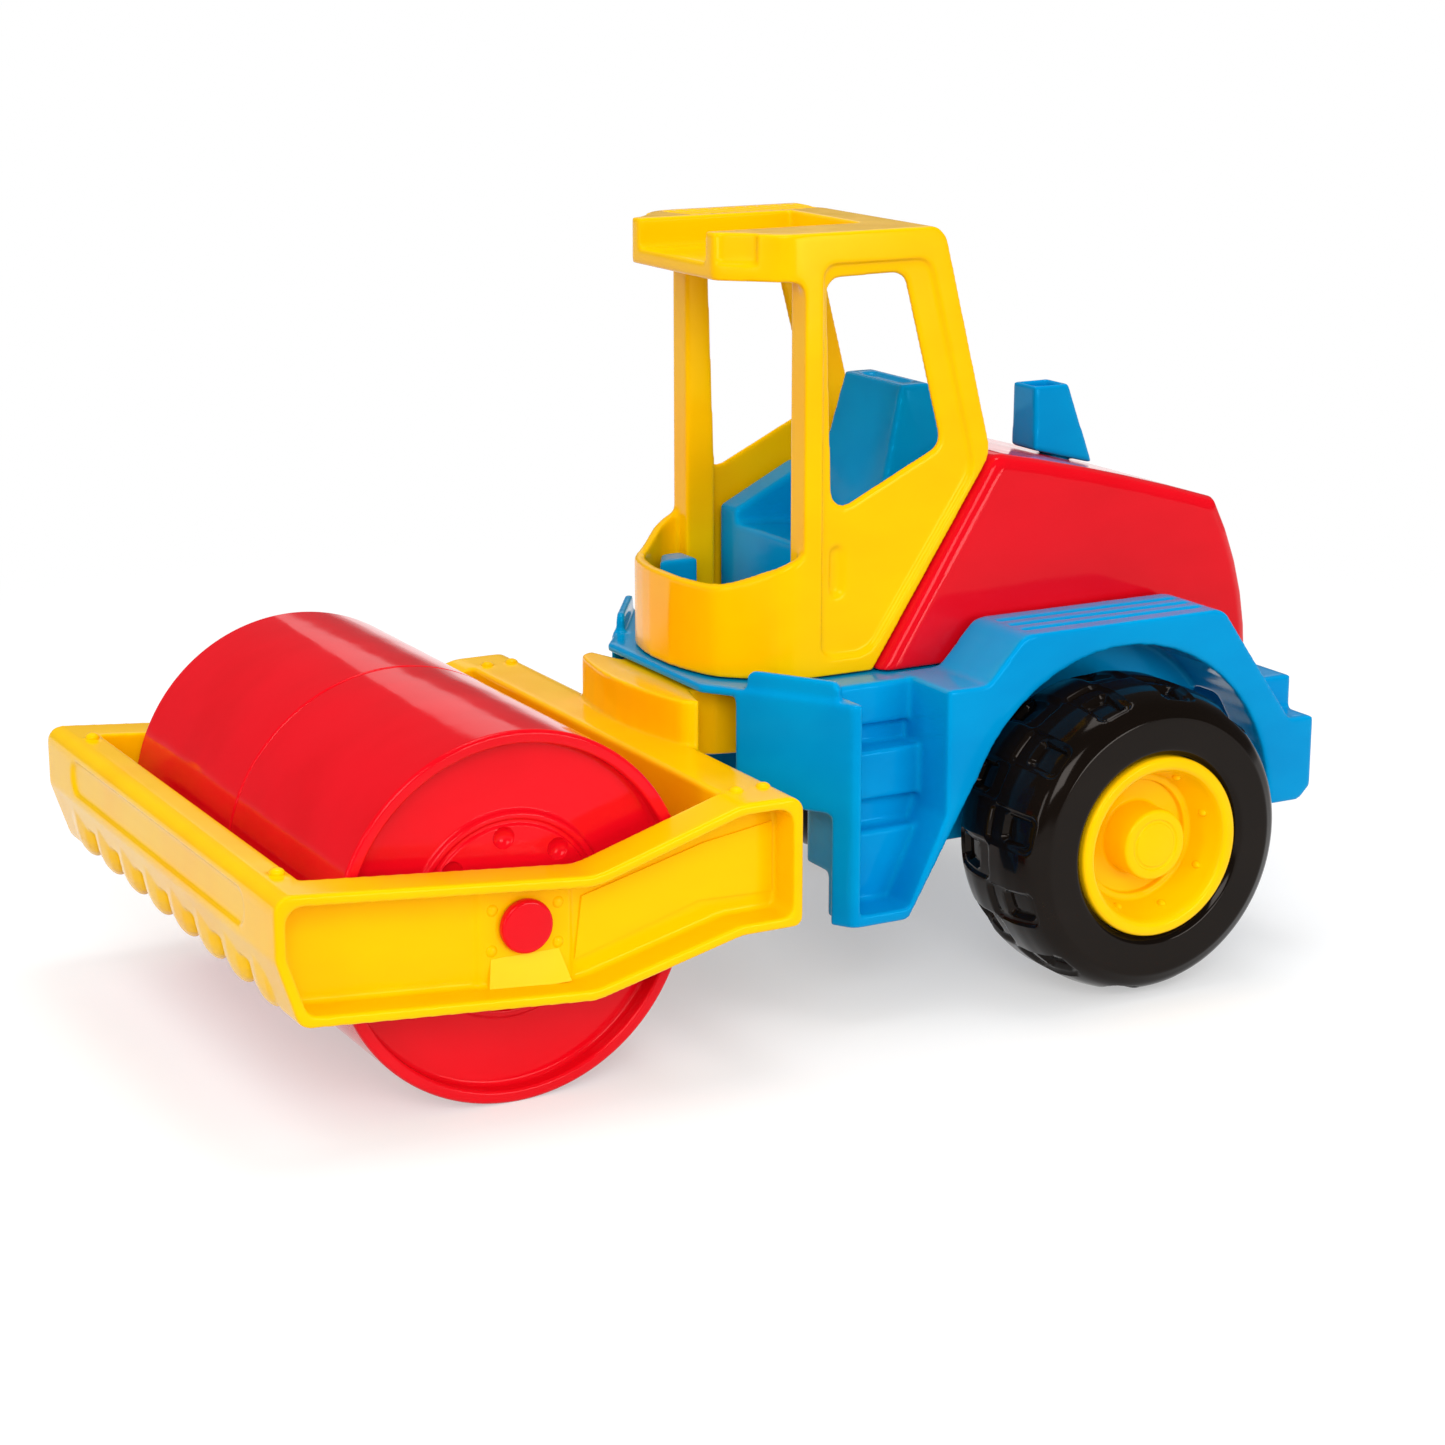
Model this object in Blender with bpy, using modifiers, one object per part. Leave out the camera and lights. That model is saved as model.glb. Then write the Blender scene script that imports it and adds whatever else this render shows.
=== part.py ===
"""Toy road roller: a push-along roller of moulded plastic, hinged in the middle.

Metres, +Z up, front toward -Y. The steering axis is the Z axis, and the toy stands on
z = 0 on its drum and its two rear wheels. Left is +X, as seen from the driver's seat.
"""
import math

import bmesh
import bpy
from mathutils import Matrix, Vector

# Overall sizes
FRONT_REACH = 0.1205        # steering axis to the front face of the drum frame
REAR_REACH = 0.1205         # steering axis to the rear face of the bumper
FRAME_HALF = 0.0660         # half width over the drum frame
CHASSIS_HALF = 0.0500       # half width over the fenders and step frames
CAB_HALF = 0.0280           # half width over the cab doors
HOOD_HALF = 0.0305          # half width over the hood at its front
DECK_TOP = 0.0660           # height of the deck
ROOF_TOP = 0.1553           # height of the cab roof

# Walls and clearances
WALL = 0.0022               # moulded wall
SEAT_GAP = 0.0003           # between pieces that rest on each other
RUN_GAP = 0.0005            # around pieces that turn

# Drum and its pins
DRUM_RADIUS = 0.0360
DRUM_LENGTH = 0.1110
DRUM_SETBACK = 0.0510       # front face of the frame back to the drum axis
DRUM_RIM = 0.0026           # lip around each end of the drum
DRUM_DISH = 0.0036          # how deep the end disc lies inside the lip
DRUM_HUB_RADIUS = 0.0190
DRUM_HUB_RAISE = 0.0009
DRUM_BOSS_RADIUS = 0.0075
DRUM_BOSS_LENGTH = 0.0120
DRUM_SPIGOT = 0.0050        # sleeve of the left half inside the right half
DRUM_SEAM_CHAMFER = 0.0006
PIN_RADIUS = 0.0040
BUTTON_RADIUS = 0.0052
BUTTON_THICK = 0.0016
DRUM_SEGMENTS = 40

# Drum frame
FRAME_SIDE_GAP = 0.0008     # drum end to the web of a side beam
FRAME_WEB = 0.0020
FRAME_TOP_FRONT = 0.0512
FRAME_TOP_DIP = 0.0455
FRAME_TOP_REAR = 0.0547
FRAME_LOW_FRONT = 0.0260
FRAME_LOW_DIP = 0.0213
FRAME_LOW_REAR = 0.0289
FRAME_DIP_BEHIND_AXIS = 0.0115
FRAME_CHIN_TOP = 0.0390     # where the front face turns back toward the drum
FRAME_CHIN_SETBACK = 0.0042
FRONT_BEAM_DEPTH = 0.0086
FRONT_LIP_DROP = 0.0080     # inner lip of the front beam
REAR_BEAM_FRONT = -0.0275
REAR_BEAM_BACK = -0.0142
PAD_HALF = 0.0095           # raised pad around each drum pin
PAD_RAISE = 0.0006
PANEL_LENGTH = 0.1000       # sunk panel on the front face
PANEL_HEIGHT = 0.0072
PANEL_DEPTH = 0.0008
TEETH = 8
TOOTH_PITCH = 0.0148
TOOTH_DEPTH = 0.0030
TOOTH_GAP = 0.0001          # crease between neighbouring teeth, to each side
FRAME_FILLETS = (0.003, 0.010, 0.008, 0.002, 0.003, 0.008, 0.012, 0.003, 0.002)
NUB_RADIUS = 0.0014
NUB_HEIGHT = 0.0009
NUB_FRONT_INSET = 0.0134    # from the outer side of the frame
NUB_REAR_INSET = 0.0094
NUB_REAR_SPREAD = 0.0029    # each nub of the rear pair from the middle of the beam

# Steering joint
PEDESTAL_HALF = 0.0240
PEDESTAL_FRONT = -0.0206    # middle of the bowed front
PEDESTAL_CORNER = -0.0171   # ends of the bowed front
PEDESTAL_FILLET = 0.0045
TONGUE_RADIUS = 0.0190
TONGUE_BOTTOM = 0.0500
PIVOT_BOSS_RADIUS = 0.0055
PIVOT_SLEEVE = 0.0030       # wall of the tongue's sleeve
WASHER_RADIUS = 0.0100
WASHER_THICK = 0.0015

# Screws
SCREW_RADIUS = 0.0014
SCREW_HEAD_RADIUS = 0.0030
SCREW_HEAD_THICK = 0.0018
SCREW_BITE = 0.0100         # length in the boss

# Chassis
DECK_PLATE = 0.0018
DECK_NOSE_HALF = 0.0205
DECK_NOSE_Y = -0.0122
DECK_SHOULDER_Y = 0.0066    # where the swept front meets the side
FRONT_GATE_HALF = 0.0270    # half width of the opening for the tongue
PANEL_LOW = 0.0430          # lower edge of the swept front panels
LEG_BOTTOM = 0.0200
LEG_WIDTH = 0.0105          # over the back wall of the steps
LEG_FRONT_WIDTH = 0.0048    # front face of the leg below the swept panel
LEG_FILLET = 0.0022         # upright edge between the swept front and the side
LEG_FOOT_BACK = 0.0195
LEG_SLOPE_TOP = 0.0480
BELLY_HALF = 0.0330
BELLY_BOTTOM = 0.0290
BULKHEAD_Y = 0.0260
FENDER_INNER = 0.0310
FENDER_FRONT_Y = 0.0280
FENDER_SHELF_BACK = 0.0375
FENDER_TOP_FRONT = 0.0460
FENDER_CROWN = 0.00505      # thickness over the top of the wheel arch
FENDER_TOP_REAR_SETBACK = 0.0250
FENDER_FOOT_SETBACK = 0.0065
GROOVES = 3
GROOVE_PITCH = 0.0045
GROOVE_WIDTH = 0.0018
GROOVE_DEPTH = 0.0007
ARCH_GAP = 0.00605          # wheel arch around the tyre
ARCH_BACK = 0.0015          # arch centre behind the wheel axis
BUMPER_TOP = 0.0498
BUMPER_BOTTOM = 0.0315
BUMPER_CHAMFER = 0.0030
TAIL_HALF = 0.0420
TAIL_TOP = 0.0570
TAIL_FRONT_SETBACK = 0.0165
STEP_FRONT_WALL = 0.0018
STEP_BAR = 0.0025           # bottom and rear bars of the step frame
STEP_BOARDS = (             # board foot and face, then slot foot and depth
    (0.0574, 0.0358, 0.0531, 0.0340),
    (0.0429, 0.0398, 0.0370, 0.0375))
STEP_LAST_BOARD = 0.0413
SIDE_FILLETS = (0, 0.002, 0.002, 0.004, 0, 0.001, 0.001, 0.001, 0.001, 0.002, 0.004, 0.004, 0.003, 0, 0)
KERB_INNER = 0.0290
KERB_OUTER = 0.0465
KERB_HEIGHT = 0.0040
KERB_THICK = 0.0018
KERB_SETBACK = 0.0008

# Cab
CAB_NOSE_HALF = 0.0175
CAB_NOSE_Y = -0.0075
CAB_NOSE_BOW = 0.0032       # middle of the lower nose ahead of its corners
CAB_NOSE_FILLET = 0.0100
CAB_SHOULDER_Y = 0.0035
CAB_FOOT_BACK = 0.0238
CAB_WAIST = (0.0515, 0.1087)
CAB_REAR_TOP = (0.0400, 0.1530)
CAB_LIP = 0.0030
CAB_CORNER = 0.0040
CAB_FILLETS = (0, 0.001, 0.006, CAB_CORNER, CAB_CORNER, 0)
SILL_FRONT = 0.0850
SILL_SIDE = 0.0915
SILL_FILLETS = (0, 0.012, 0.002, 0.003, 0)
PILLAR_FRONT = 0.0076
PILLAR_BACK = 0.0144
PILLAR_DEPTH = 0.0062       # front pillars, inward from the doors
ROOF_DEPTH = 0.0093
WINDOW = ((0.0145, 0.0991), (0.0401, 0.1113), (0.0307, 0.1465), (0.0128, 0.1463))
WINDOW_FILLET = 0.0030
ROOF_TRAY_HALF = 0.0140
ROOF_TRAY_BACK = 0.0280
ROOF_TRAY_DEPTH = 0.0060

# Seat moulding
SEAT_SIDE_GAP = 0.0018      # seat to the inside of the doors
SEAT_FRONT = 0.0165
SEAT_CUSHION = 0.0900
SEAT_CUSHION_HALF = 0.0165
ARM_FRONT_TOP = 0.0925
ARM_REAR = (0.0335, 0.1010)
BACKREST_TOP = 0.1212
BACKREST_HALF_LOW = 0.0150
BACKREST_HALF_TOP = 0.0115
BACKREST_FRONT_LOW = 0.0310
BACKREST_FRONT_TOP = 0.0400
BACKREST_BACK_TOP = 0.0470
BACKREST_WAIST = 0.1075     # height where the backrest is deepest
CONSOLE_INNER = 0.0140
CONSOLE_BACK = 0.0060
CONSOLE_TOP = 0.0838
SEAT_SCREW = (0.0120, 0.0205)
SEAT_BOSS_RADIUS = 0.0034

# Hood and exhaust
HOOD_REAR_HALF = 0.0275
HOOD_TOP_REAR = 0.0939
HOOD_TOP_REAR_SETBACK = 0.0105
HOOD_TOP_BOW = 0.0008
HOOD_REAR_BOW = 0.0024
HOOD_BEVEL = 0.0026
HOOD_SCREW_Y = 0.0600
HOOD_BOSS_RADIUS = 0.0045
HOOD_BOSS_LENGTH = 0.0160
EXHAUST_HALF = 0.0042
EXHAUST_FRONT = 0.0780
EXHAUST_TOP = 0.1172
EXHAUST_TOP_LENGTH = 0.0088
EXHAUST_FOOT_LENGTH = 0.0165
EXHAUST_RECESS = 0.0030
EXHAUST_STEM_RADIUS = 0.0030
EXHAUST_STEM = 0.0060

# Rear wheels
WHEEL_RADIUS = 0.03225
WHEEL_SETBACK = 0.0513      # rear face of the bumper forward to the wheel axis
WHEEL_FACE = 0.0660         # outer face of a tyre from the middle
TYRE_WIDTH = 0.0300
TYRE_SHELL = 0.0024
TYRE_SIDEWALL = 0.0270      # radius where the flat side turns into the shoulder
TYRE_SHOULDER_DROP = 0.0012
TYRE_SHOULDER_WIDTH = 0.0044
TYRE_CROWN_HALF = 0.0036    # half width of the level part of the tread
TYRE_SLEEVE = 0.0080
LUGS = 12                   # pockets in each of the two rows
LUG_WIDTH = 0.0070
LUG_LENGTH = 0.0155
LUG_DEPTH = 0.0017
LUG_PHASE = 0.133           # share of a step by which the rows are turned
HUB_RADIUS = 0.0188
HUB_PROUD = 0.0002
HUB_LIP = 0.0162
HUB_DISH = 0.0098
HUB_STEP_RADIUS = 0.0120
HUB_STEP = 0.0014
HUB_BOSS_RADIUS = 0.0074
HUB_BOSS_SUNK = 0.0018
HUB_STUB_RADIUS = 0.0055
HUB_DEPTH = 0.0105
AXLE_RADIUS = 0.0025
AXLE_CAP = 0.0030           # plastic left over the end of the axle
BEARING_RADIUS = 0.0070
BEARING_GAP = 0.0006
WHEEL_SEGMENTS = 40
HUB_SEGMENTS = 32
PIN_SEGMENTS = 20

# Places worked out from the sizes above
DRUM_Y = DRUM_SETBACK - FRONT_REACH
WHEEL_Y = REAR_REACH - WHEEL_SETBACK
DRUM_AXIS = Vector((0.0, DRUM_Y, DRUM_RADIUS))
WHEEL_AXIS = Vector((0.0, WHEEL_Y, WHEEL_RADIUS))
WEB_INNER = DRUM_LENGTH / 2 + FRAME_SIDE_GAP
WEB_OUTER = WEB_INNER + FRAME_WEB
DECK_BOTTOM = DECK_TOP - DECK_PLATE
TONGUE_TOP = DECK_BOTTOM - RUN_GAP
CAB_BOTTOM = DECK_TOP + SEAT_GAP
SEAT_HALF = CAB_HALF - WALL - SEAT_SIDE_GAP
CONSOLE_OUTER = CAB_HALF - PILLAR_DEPTH - SEAT_GAP
ARCH_RADIUS = WHEEL_RADIUS + ARCH_GAP
FENDER_TOP = WHEEL_RADIUS + ARCH_RADIUS + FENDER_CROWN
TYRE_INNER = WHEEL_FACE - TYRE_WIDTH
BOSS_FACE = TYRE_WIDTH + HUB_PROUD - HUB_BOSS_SUNK
AXLE_HALF = TYRE_INNER + BOSS_FACE - AXLE_CAP - SEAT_GAP
SWEEP = Vector((CHASSIS_HALF - DECK_NOSE_HALF, DECK_SHOULDER_Y - DECK_NOSE_Y)).normalized()

YELLOW = "FFD000"
RED = "E3231E"
BLUE = "0089C6"
BLACK = "15110D"
STEEL = "B9BCC0"


def start_clean():
    for item in list(bpy.data.objects):
        bpy.data.objects.remove(item, do_unlink=True)
    folders = []
    for name in ("toy_road_roller", "cutters"):
        folder = bpy.data.collections.new(name)
        bpy.context.scene.collection.children.link(folder)
        folders.append(folder)
    return folders


PARTS, CUTTERS = start_clean()


def material(name, hex_colour, roughness, metallic=0.0):
    channels = [int(hex_colour[i:i + 2], 16) / 255 for i in (0, 2, 4)]
    linear = [c / 12.92 if c <= 0.04045 else ((c + 0.055) / 1.055) ** 2.4 for c in channels]
    made = bpy.data.materials.new(name)
    made.use_nodes = True
    shader = made.node_tree.nodes["Principled BSDF"]
    shader.inputs["Base Color"].default_value = (*linear, 1.0)
    shader.inputs["Roughness"].default_value = roughness
    shader.inputs["Metallic"].default_value = metallic
    return made


# Plain shapes; each starts as a hidden helper and becomes a part when it is finished
def shape(mesh):
    made = bpy.data.objects.new("helper", mesh)
    made.hide_render = True
    made.display_type = "WIRE"
    CUTTERS.objects.link(made)
    return made


def shape_from(bm):
    mesh = bpy.data.meshes.new("helper")
    bm.to_mesh(mesh)
    bm.free()
    return shape(mesh)


def box(low, high):
    low, high = Vector(low), Vector(high)
    bm = bmesh.new()
    place = Matrix.Translation((low + high) / 2) @ Matrix.Diagonal((*(high - low), 1.0))
    bmesh.ops.create_cube(bm, size=1.0, matrix=place)
    return shape_from(bm)


def frustum(foot, top):
    """A four-sided block; foot and top are (x half, y front, y back, z)."""
    bm = bmesh.new()
    bmesh.ops.create_cube(bm, size=2.0)
    for vert in bm.verts:
        half, front, back, z = top if vert.co.z > 0 else foot
        vert.co = (half * vert.co.x, back if vert.co.y > 0 else front, z)
    return shape_from(bm)


def rod(radius, start, end, segments=PIN_SEGMENTS):
    start, end = Vector(start), Vector(end)
    turn = (end - start).to_track_quat("Z", "Y").to_matrix().to_4x4()
    half_step = Matrix.Rotation(math.pi / segments, 4, "Z")
    bm = bmesh.new()
    bmesh.ops.create_cone(bm, cap_ends=True, segments=segments, radius1=radius, radius2=radius,
                          depth=(end - start).length,
                          matrix=Matrix.Translation((start + end) / 2) @ turn @ half_step)
    return shape_from(bm)


def dome(centre, radius, height):
    bm = bmesh.new()
    place = Matrix.Translation(centre) @ Matrix.Diagonal((radius, radius, height, 1.0))
    bmesh.ops.create_uvsphere(bm, u_segments=8, v_segments=6, radius=1.0, matrix=place)
    return shape_from(bm)


def slab(outline, axis, low, high):
    """A flat outline made thick: (y, z) points along X, (x, z) along Y or (x, y) along Z."""
    curve = bpy.data.curves.new("outline", "CURVE")
    curve.dimensions = "2D"
    curve.fill_mode = "BOTH"
    curve.extrude = (high - low) / 2
    spline = curve.splines.new("POLY")
    spline.points.add(len(outline) - 1)
    for point, (a, b) in zip(spline.points, outline):
        point.co = (a, b, 0.0, 1.0)
    spline.use_cyclic_u = True
    drawn = bpy.data.objects.new("outline", curve)
    CUTTERS.objects.link(drawn)
    graph = bpy.context.evaluated_depsgraph_get()
    mesh = bpy.data.meshes.new_from_object(drawn.evaluated_get(graph))
    bpy.data.objects.remove(drawn)
    bm = bmesh.new()
    bm.from_mesh(mesh)
    bmesh.ops.remove_doubles(bm, verts=bm.verts, dist=1e-6)
    bmesh.ops.recalc_face_normals(bm, faces=bm.faces)
    bm.to_mesh(mesh)
    bm.free()
    if axis == "X":
        mesh.transform(Matrix(((0, 0, 1, 0), (1, 0, 0, 0), (0, 1, 0, 0), (0, 0, 0, 1))))
    if axis == "Y":
        mesh.transform(Matrix.Rotation(math.pi / 2, 4, "X"))
    way = Vector((axis == "X", axis == "Y", axis == "Z"))
    mesh.transform(Matrix.Translation((low + high) / 2 * way))
    return shape(mesh)


def turned(profile, origin, side, segments, closed):
    """A profile of (radius, distance) points turned about an axis that points to +X or -X."""
    bm = bmesh.new()
    verts = [bm.verts.new((radius, 0.0, along)) for radius, along in profile]
    for first, second in zip(verts, verts[1:] + verts[:1] if closed else verts[1:]):
        bm.edges.new((first, second))
    made = shape_from(bm)
    screw = made.modifiers.new("Turn", "SCREW")
    screw.steps = screw.render_steps = segments
    screw.use_merge_vertices = True
    screw.merge_threshold = 1e-6
    made.matrix_world = Matrix.Translation(origin) @ Matrix.Rotation(side * math.pi / 2, 4, "Y")
    return made


# Outlines
def rounded(points, radius, steps=4):
    """The outline with its corners as arcs; radius is one value or one for each corner."""
    radii = radius if isinstance(radius, (list, tuple)) else [radius] * len(points)
    done = []
    for i, corner in enumerate(points):
        corner = Vector(corner)
        back = Vector(points[i - 1]) - corner
        ahead = Vector(points[(i + 1) % len(points)]) - corner
        half = back.angle(ahead) / 2
        reach = min(radii[i] / math.tan(half), 0.48 * back.length, 0.48 * ahead.length)
        if reach < 1e-6:
            done.append(tuple(corner))
            continue
        middle = corner + (back.normalized() + ahead.normalized()).normalized() * reach / math.cos(half)
        first = corner + back.normalized() * reach - middle
        turn = first.angle_signed(corner + ahead.normalized() * reach - middle)
        for k in range(steps + 1):
            done.append(tuple(middle + Matrix.Rotation(-turn * k / steps, 2) @ first))
    return done


def inset(points, distance):
    """The outline moved inward on every side."""
    area = sum(a[0] * b[1] - b[0] * a[1] for a, b in zip(points, points[1:] + points[:1]))
    sign = math.copysign(1.0, area)
    done = []
    for i, corner in enumerate(points):
        before = (Vector(corner) - Vector(points[i - 1])).normalized()
        after = (Vector(points[(i + 1) % len(points)]) - Vector(corner)).normalized()
        inward = sign * Vector((-before.y - after.y, before.x + after.x))
        done.append(tuple(Vector(corner) + inward * distance / (1 + before.dot(after))))
    return done


def mirrored(half):
    """A closed outline from its +X half, listed from front to back."""
    return half + [(-x, y) for x, y in reversed(half)]


def bowed(start, end, bulge, steps=5):
    """Points from start to end along a shallow bow that swells to the left of the way."""
    start, end = Vector(start), Vector(end)
    way = end - start
    left = Vector((-way.y, way.x)).normalized()
    return [tuple(start + way * t + left * bulge * 4 * t * (1 - t))
            for t in (k / steps for k in range(steps + 1))]


def arc(radius, start, end, steps):
    """Points on a circle about the origin, from one angle to another."""
    angles = [start + (end - start) * k / steps for k in range(steps + 1)]
    return [(radius * math.cos(a), radius * math.sin(a)) for a in angles]


# Joining, cutting and finishing
def combine(body, helper, operation):
    change = body.modifiers.new(operation.title(), "BOOLEAN")
    change.operation = operation
    change.object = helper
    change.solver = "EXACT"


def add(body, *helpers):
    for helper in helpers:
        combine(body, helper, "UNION")


def cut(body, *helpers):
    for helper in helpers:
        combine(body, helper, "DIFFERENCE")


def keep_inside(body, helper):
    combine(body, helper, "INTERSECT")


def both_sides(helper):
    """The helper and its mirror image on the right-hand side."""
    helper.modifiers.new("Mirror", "MIRROR").merge_threshold = 1e-6
    return helper


def part(body, name, finish, carrier):
    body.name = name
    body.data.name = name
    body.data.materials.clear()
    body.data.materials.append(finish)
    body.hide_render = False
    body.display_type = "TEXTURED"
    CUTTERS.objects.unlink(body)
    PARTS.objects.link(body)
    place = body.matrix_world.copy()
    body.parent = carrier
    body.matrix_parent_inverse = carrier.matrix_world.inverted()
    body.matrix_world = place
    body.data.shade_smooth()
    body.data.set_sharp_from_angle(angle=math.radians(35))
    return body


def axis_empty(name, place):
    made = bpy.data.objects.new(name, None)
    made.location = place
    PARTS.objects.link(made)
    bpy.context.view_layer.update()
    return made


# Drum frame
def side_beam_outline():
    dip = DRUM_Y + FRAME_DIP_BEHIND_AXIS
    return [
        (-FRONT_REACH + FRAME_CHIN_SETBACK, FRAME_LOW_FRONT),
        (dip, FRAME_LOW_DIP),
        (REAR_BEAM_FRONT, FRAME_LOW_REAR),
        (REAR_BEAM_BACK, FRAME_LOW_REAR),
        (REAR_BEAM_BACK, FRAME_TOP_REAR),
        (REAR_BEAM_FRONT, FRAME_TOP_REAR),
        (dip, FRAME_TOP_DIP),
        (-FRONT_REACH, FRAME_TOP_FRONT),
        (-FRONT_REACH, FRAME_CHIN_TOP),
    ]


def between_webs_outline():
    """What is left open between the side beams: both beams' hollows and the drum's window."""
    front = -FRONT_REACH
    back = front + FRONT_BEAM_DEPTH
    lip = FRAME_TOP_FRONT - FRONT_LIP_DROP
    tooth_middle = FRAME_LOW_FRONT + TOOTH_PITCH / 2
    rear_foot = FRAME_LOW_REAR + RUN_GAP
    rear_ceiling = FRAME_TOP_REAR - WALL
    return [
        (front - WALL, 0.0),
        (REAR_BEAM_BACK + WALL, 0.0),
        (REAR_BEAM_BACK + WALL, rear_foot),
        (REAR_BEAM_BACK - WALL, rear_foot),
        (REAR_BEAM_BACK - WALL, rear_ceiling),
        (REAR_BEAM_FRONT + WALL, rear_ceiling),
        (REAR_BEAM_FRONT + WALL, rear_foot),
        (REAR_BEAM_FRONT, rear_foot),
        (REAR_BEAM_FRONT, DECK_TOP),
        (back, DECK_TOP),
        (back, lip),
        (back - WALL, lip),
        (back - WALL, FRAME_TOP_FRONT - WALL),
        (front + WALL, FRAME_TOP_FRONT - WALL),
        (front + WALL, FRAME_CHIN_TOP),
        (front + FRAME_CHIN_SETBACK + WALL, tooth_middle),
        (front - WALL, tooth_middle),
    ]


def scraper_teeth():
    """A row of half-round ribs with round lower ends, leaning back under the front face."""
    radius = TOOTH_PITCH / 2 - TOOTH_GAP
    front = -FRONT_REACH
    low = Vector((0.0, front + FRAME_CHIN_SETBACK, FRAME_LOW_FRONT + radius))
    high = Vector((0.0, front + TOOTH_DEPTH + SEAT_GAP, FRAME_CHIN_TOP + WALL))
    lean = Matrix.Rotation(math.atan2(low.y - high.y, high.z - low.z), 4, "X")
    bm = bmesh.new()
    for k in range(TEETH):
        x = (k - (TEETH - 1) / 2) * TOOTH_PITCH
        made = bmesh.ops.create_uvsphere(bm, u_segments=12, v_segments=8, radius=radius)["verts"]
        bmesh.ops.transform(bm, matrix=Matrix.Diagonal((1.0, TOOTH_DEPTH / radius, 1.0, 1.0)), verts=made)
        upper = [vert for vert in made if vert.co.z > radius / 100]
        bmesh.ops.delete(bm, geom=upper, context="VERTS")
        made = [vert for vert in made if vert.is_valid]
        rim = [edge for edge in bm.edges if edge.is_boundary]
        lifted = bmesh.ops.extrude_edge_only(bm, edges=rim)["geom"]
        top = [item for item in lifted if isinstance(item, bmesh.types.BMVert)]
        bmesh.ops.translate(bm, vec=(0.0, 0.0, (high - low).length), verts=top)
        bmesh.ops.contextual_create(bm, geom=[edge for edge in bm.edges if edge.is_boundary])
        place = Matrix.Translation(low + Vector((x, 0.0, 0.0))) @ lean
        bmesh.ops.transform(bm, matrix=place, verts=made + top)
    bmesh.ops.recalc_face_normals(bm, faces=bm.faces)
    return shape_from(bm)


def tongue_outline():
    """The pedestal's bowed front and straight sides, and the round end over the pivot."""
    bow = bowed((-PEDESTAL_HALF, PEDESTAL_CORNER), (PEDESTAL_HALF, PEDESTAL_CORNER),
                PEDESTAL_FRONT - PEDESTAL_CORNER, 8)
    corner = [p for p in bow if p[0] > 0]
    wide = rounded(corner + [(PEDESTAL_HALF, 0.0), (0.0, 0.0)],
                   [0.0] * (len(corner) - 1) + [PEDESTAL_FILLET, 0.0, 0.0])[:-2]
    reach = math.sqrt(max(PEDESTAL_HALF ** 2 - TONGUE_RADIUS ** 2, 0.0))
    round_end = arc(TONGUE_RADIUS, math.atan2(-reach, TONGUE_RADIUS), math.pi / 2, 8)
    half = [p for p in wide if p[1] < round_end[0][1]] + round_end
    return mirrored([(0.0, PEDESTAL_FRONT)] + half[:-1] + [(0.0, TONGUE_RADIUS)])


def without_doubles(points):
    return [p for i, p in enumerate(points)
            if (Vector(p) - Vector(points[i - 1])).length > 1e-6]


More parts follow.
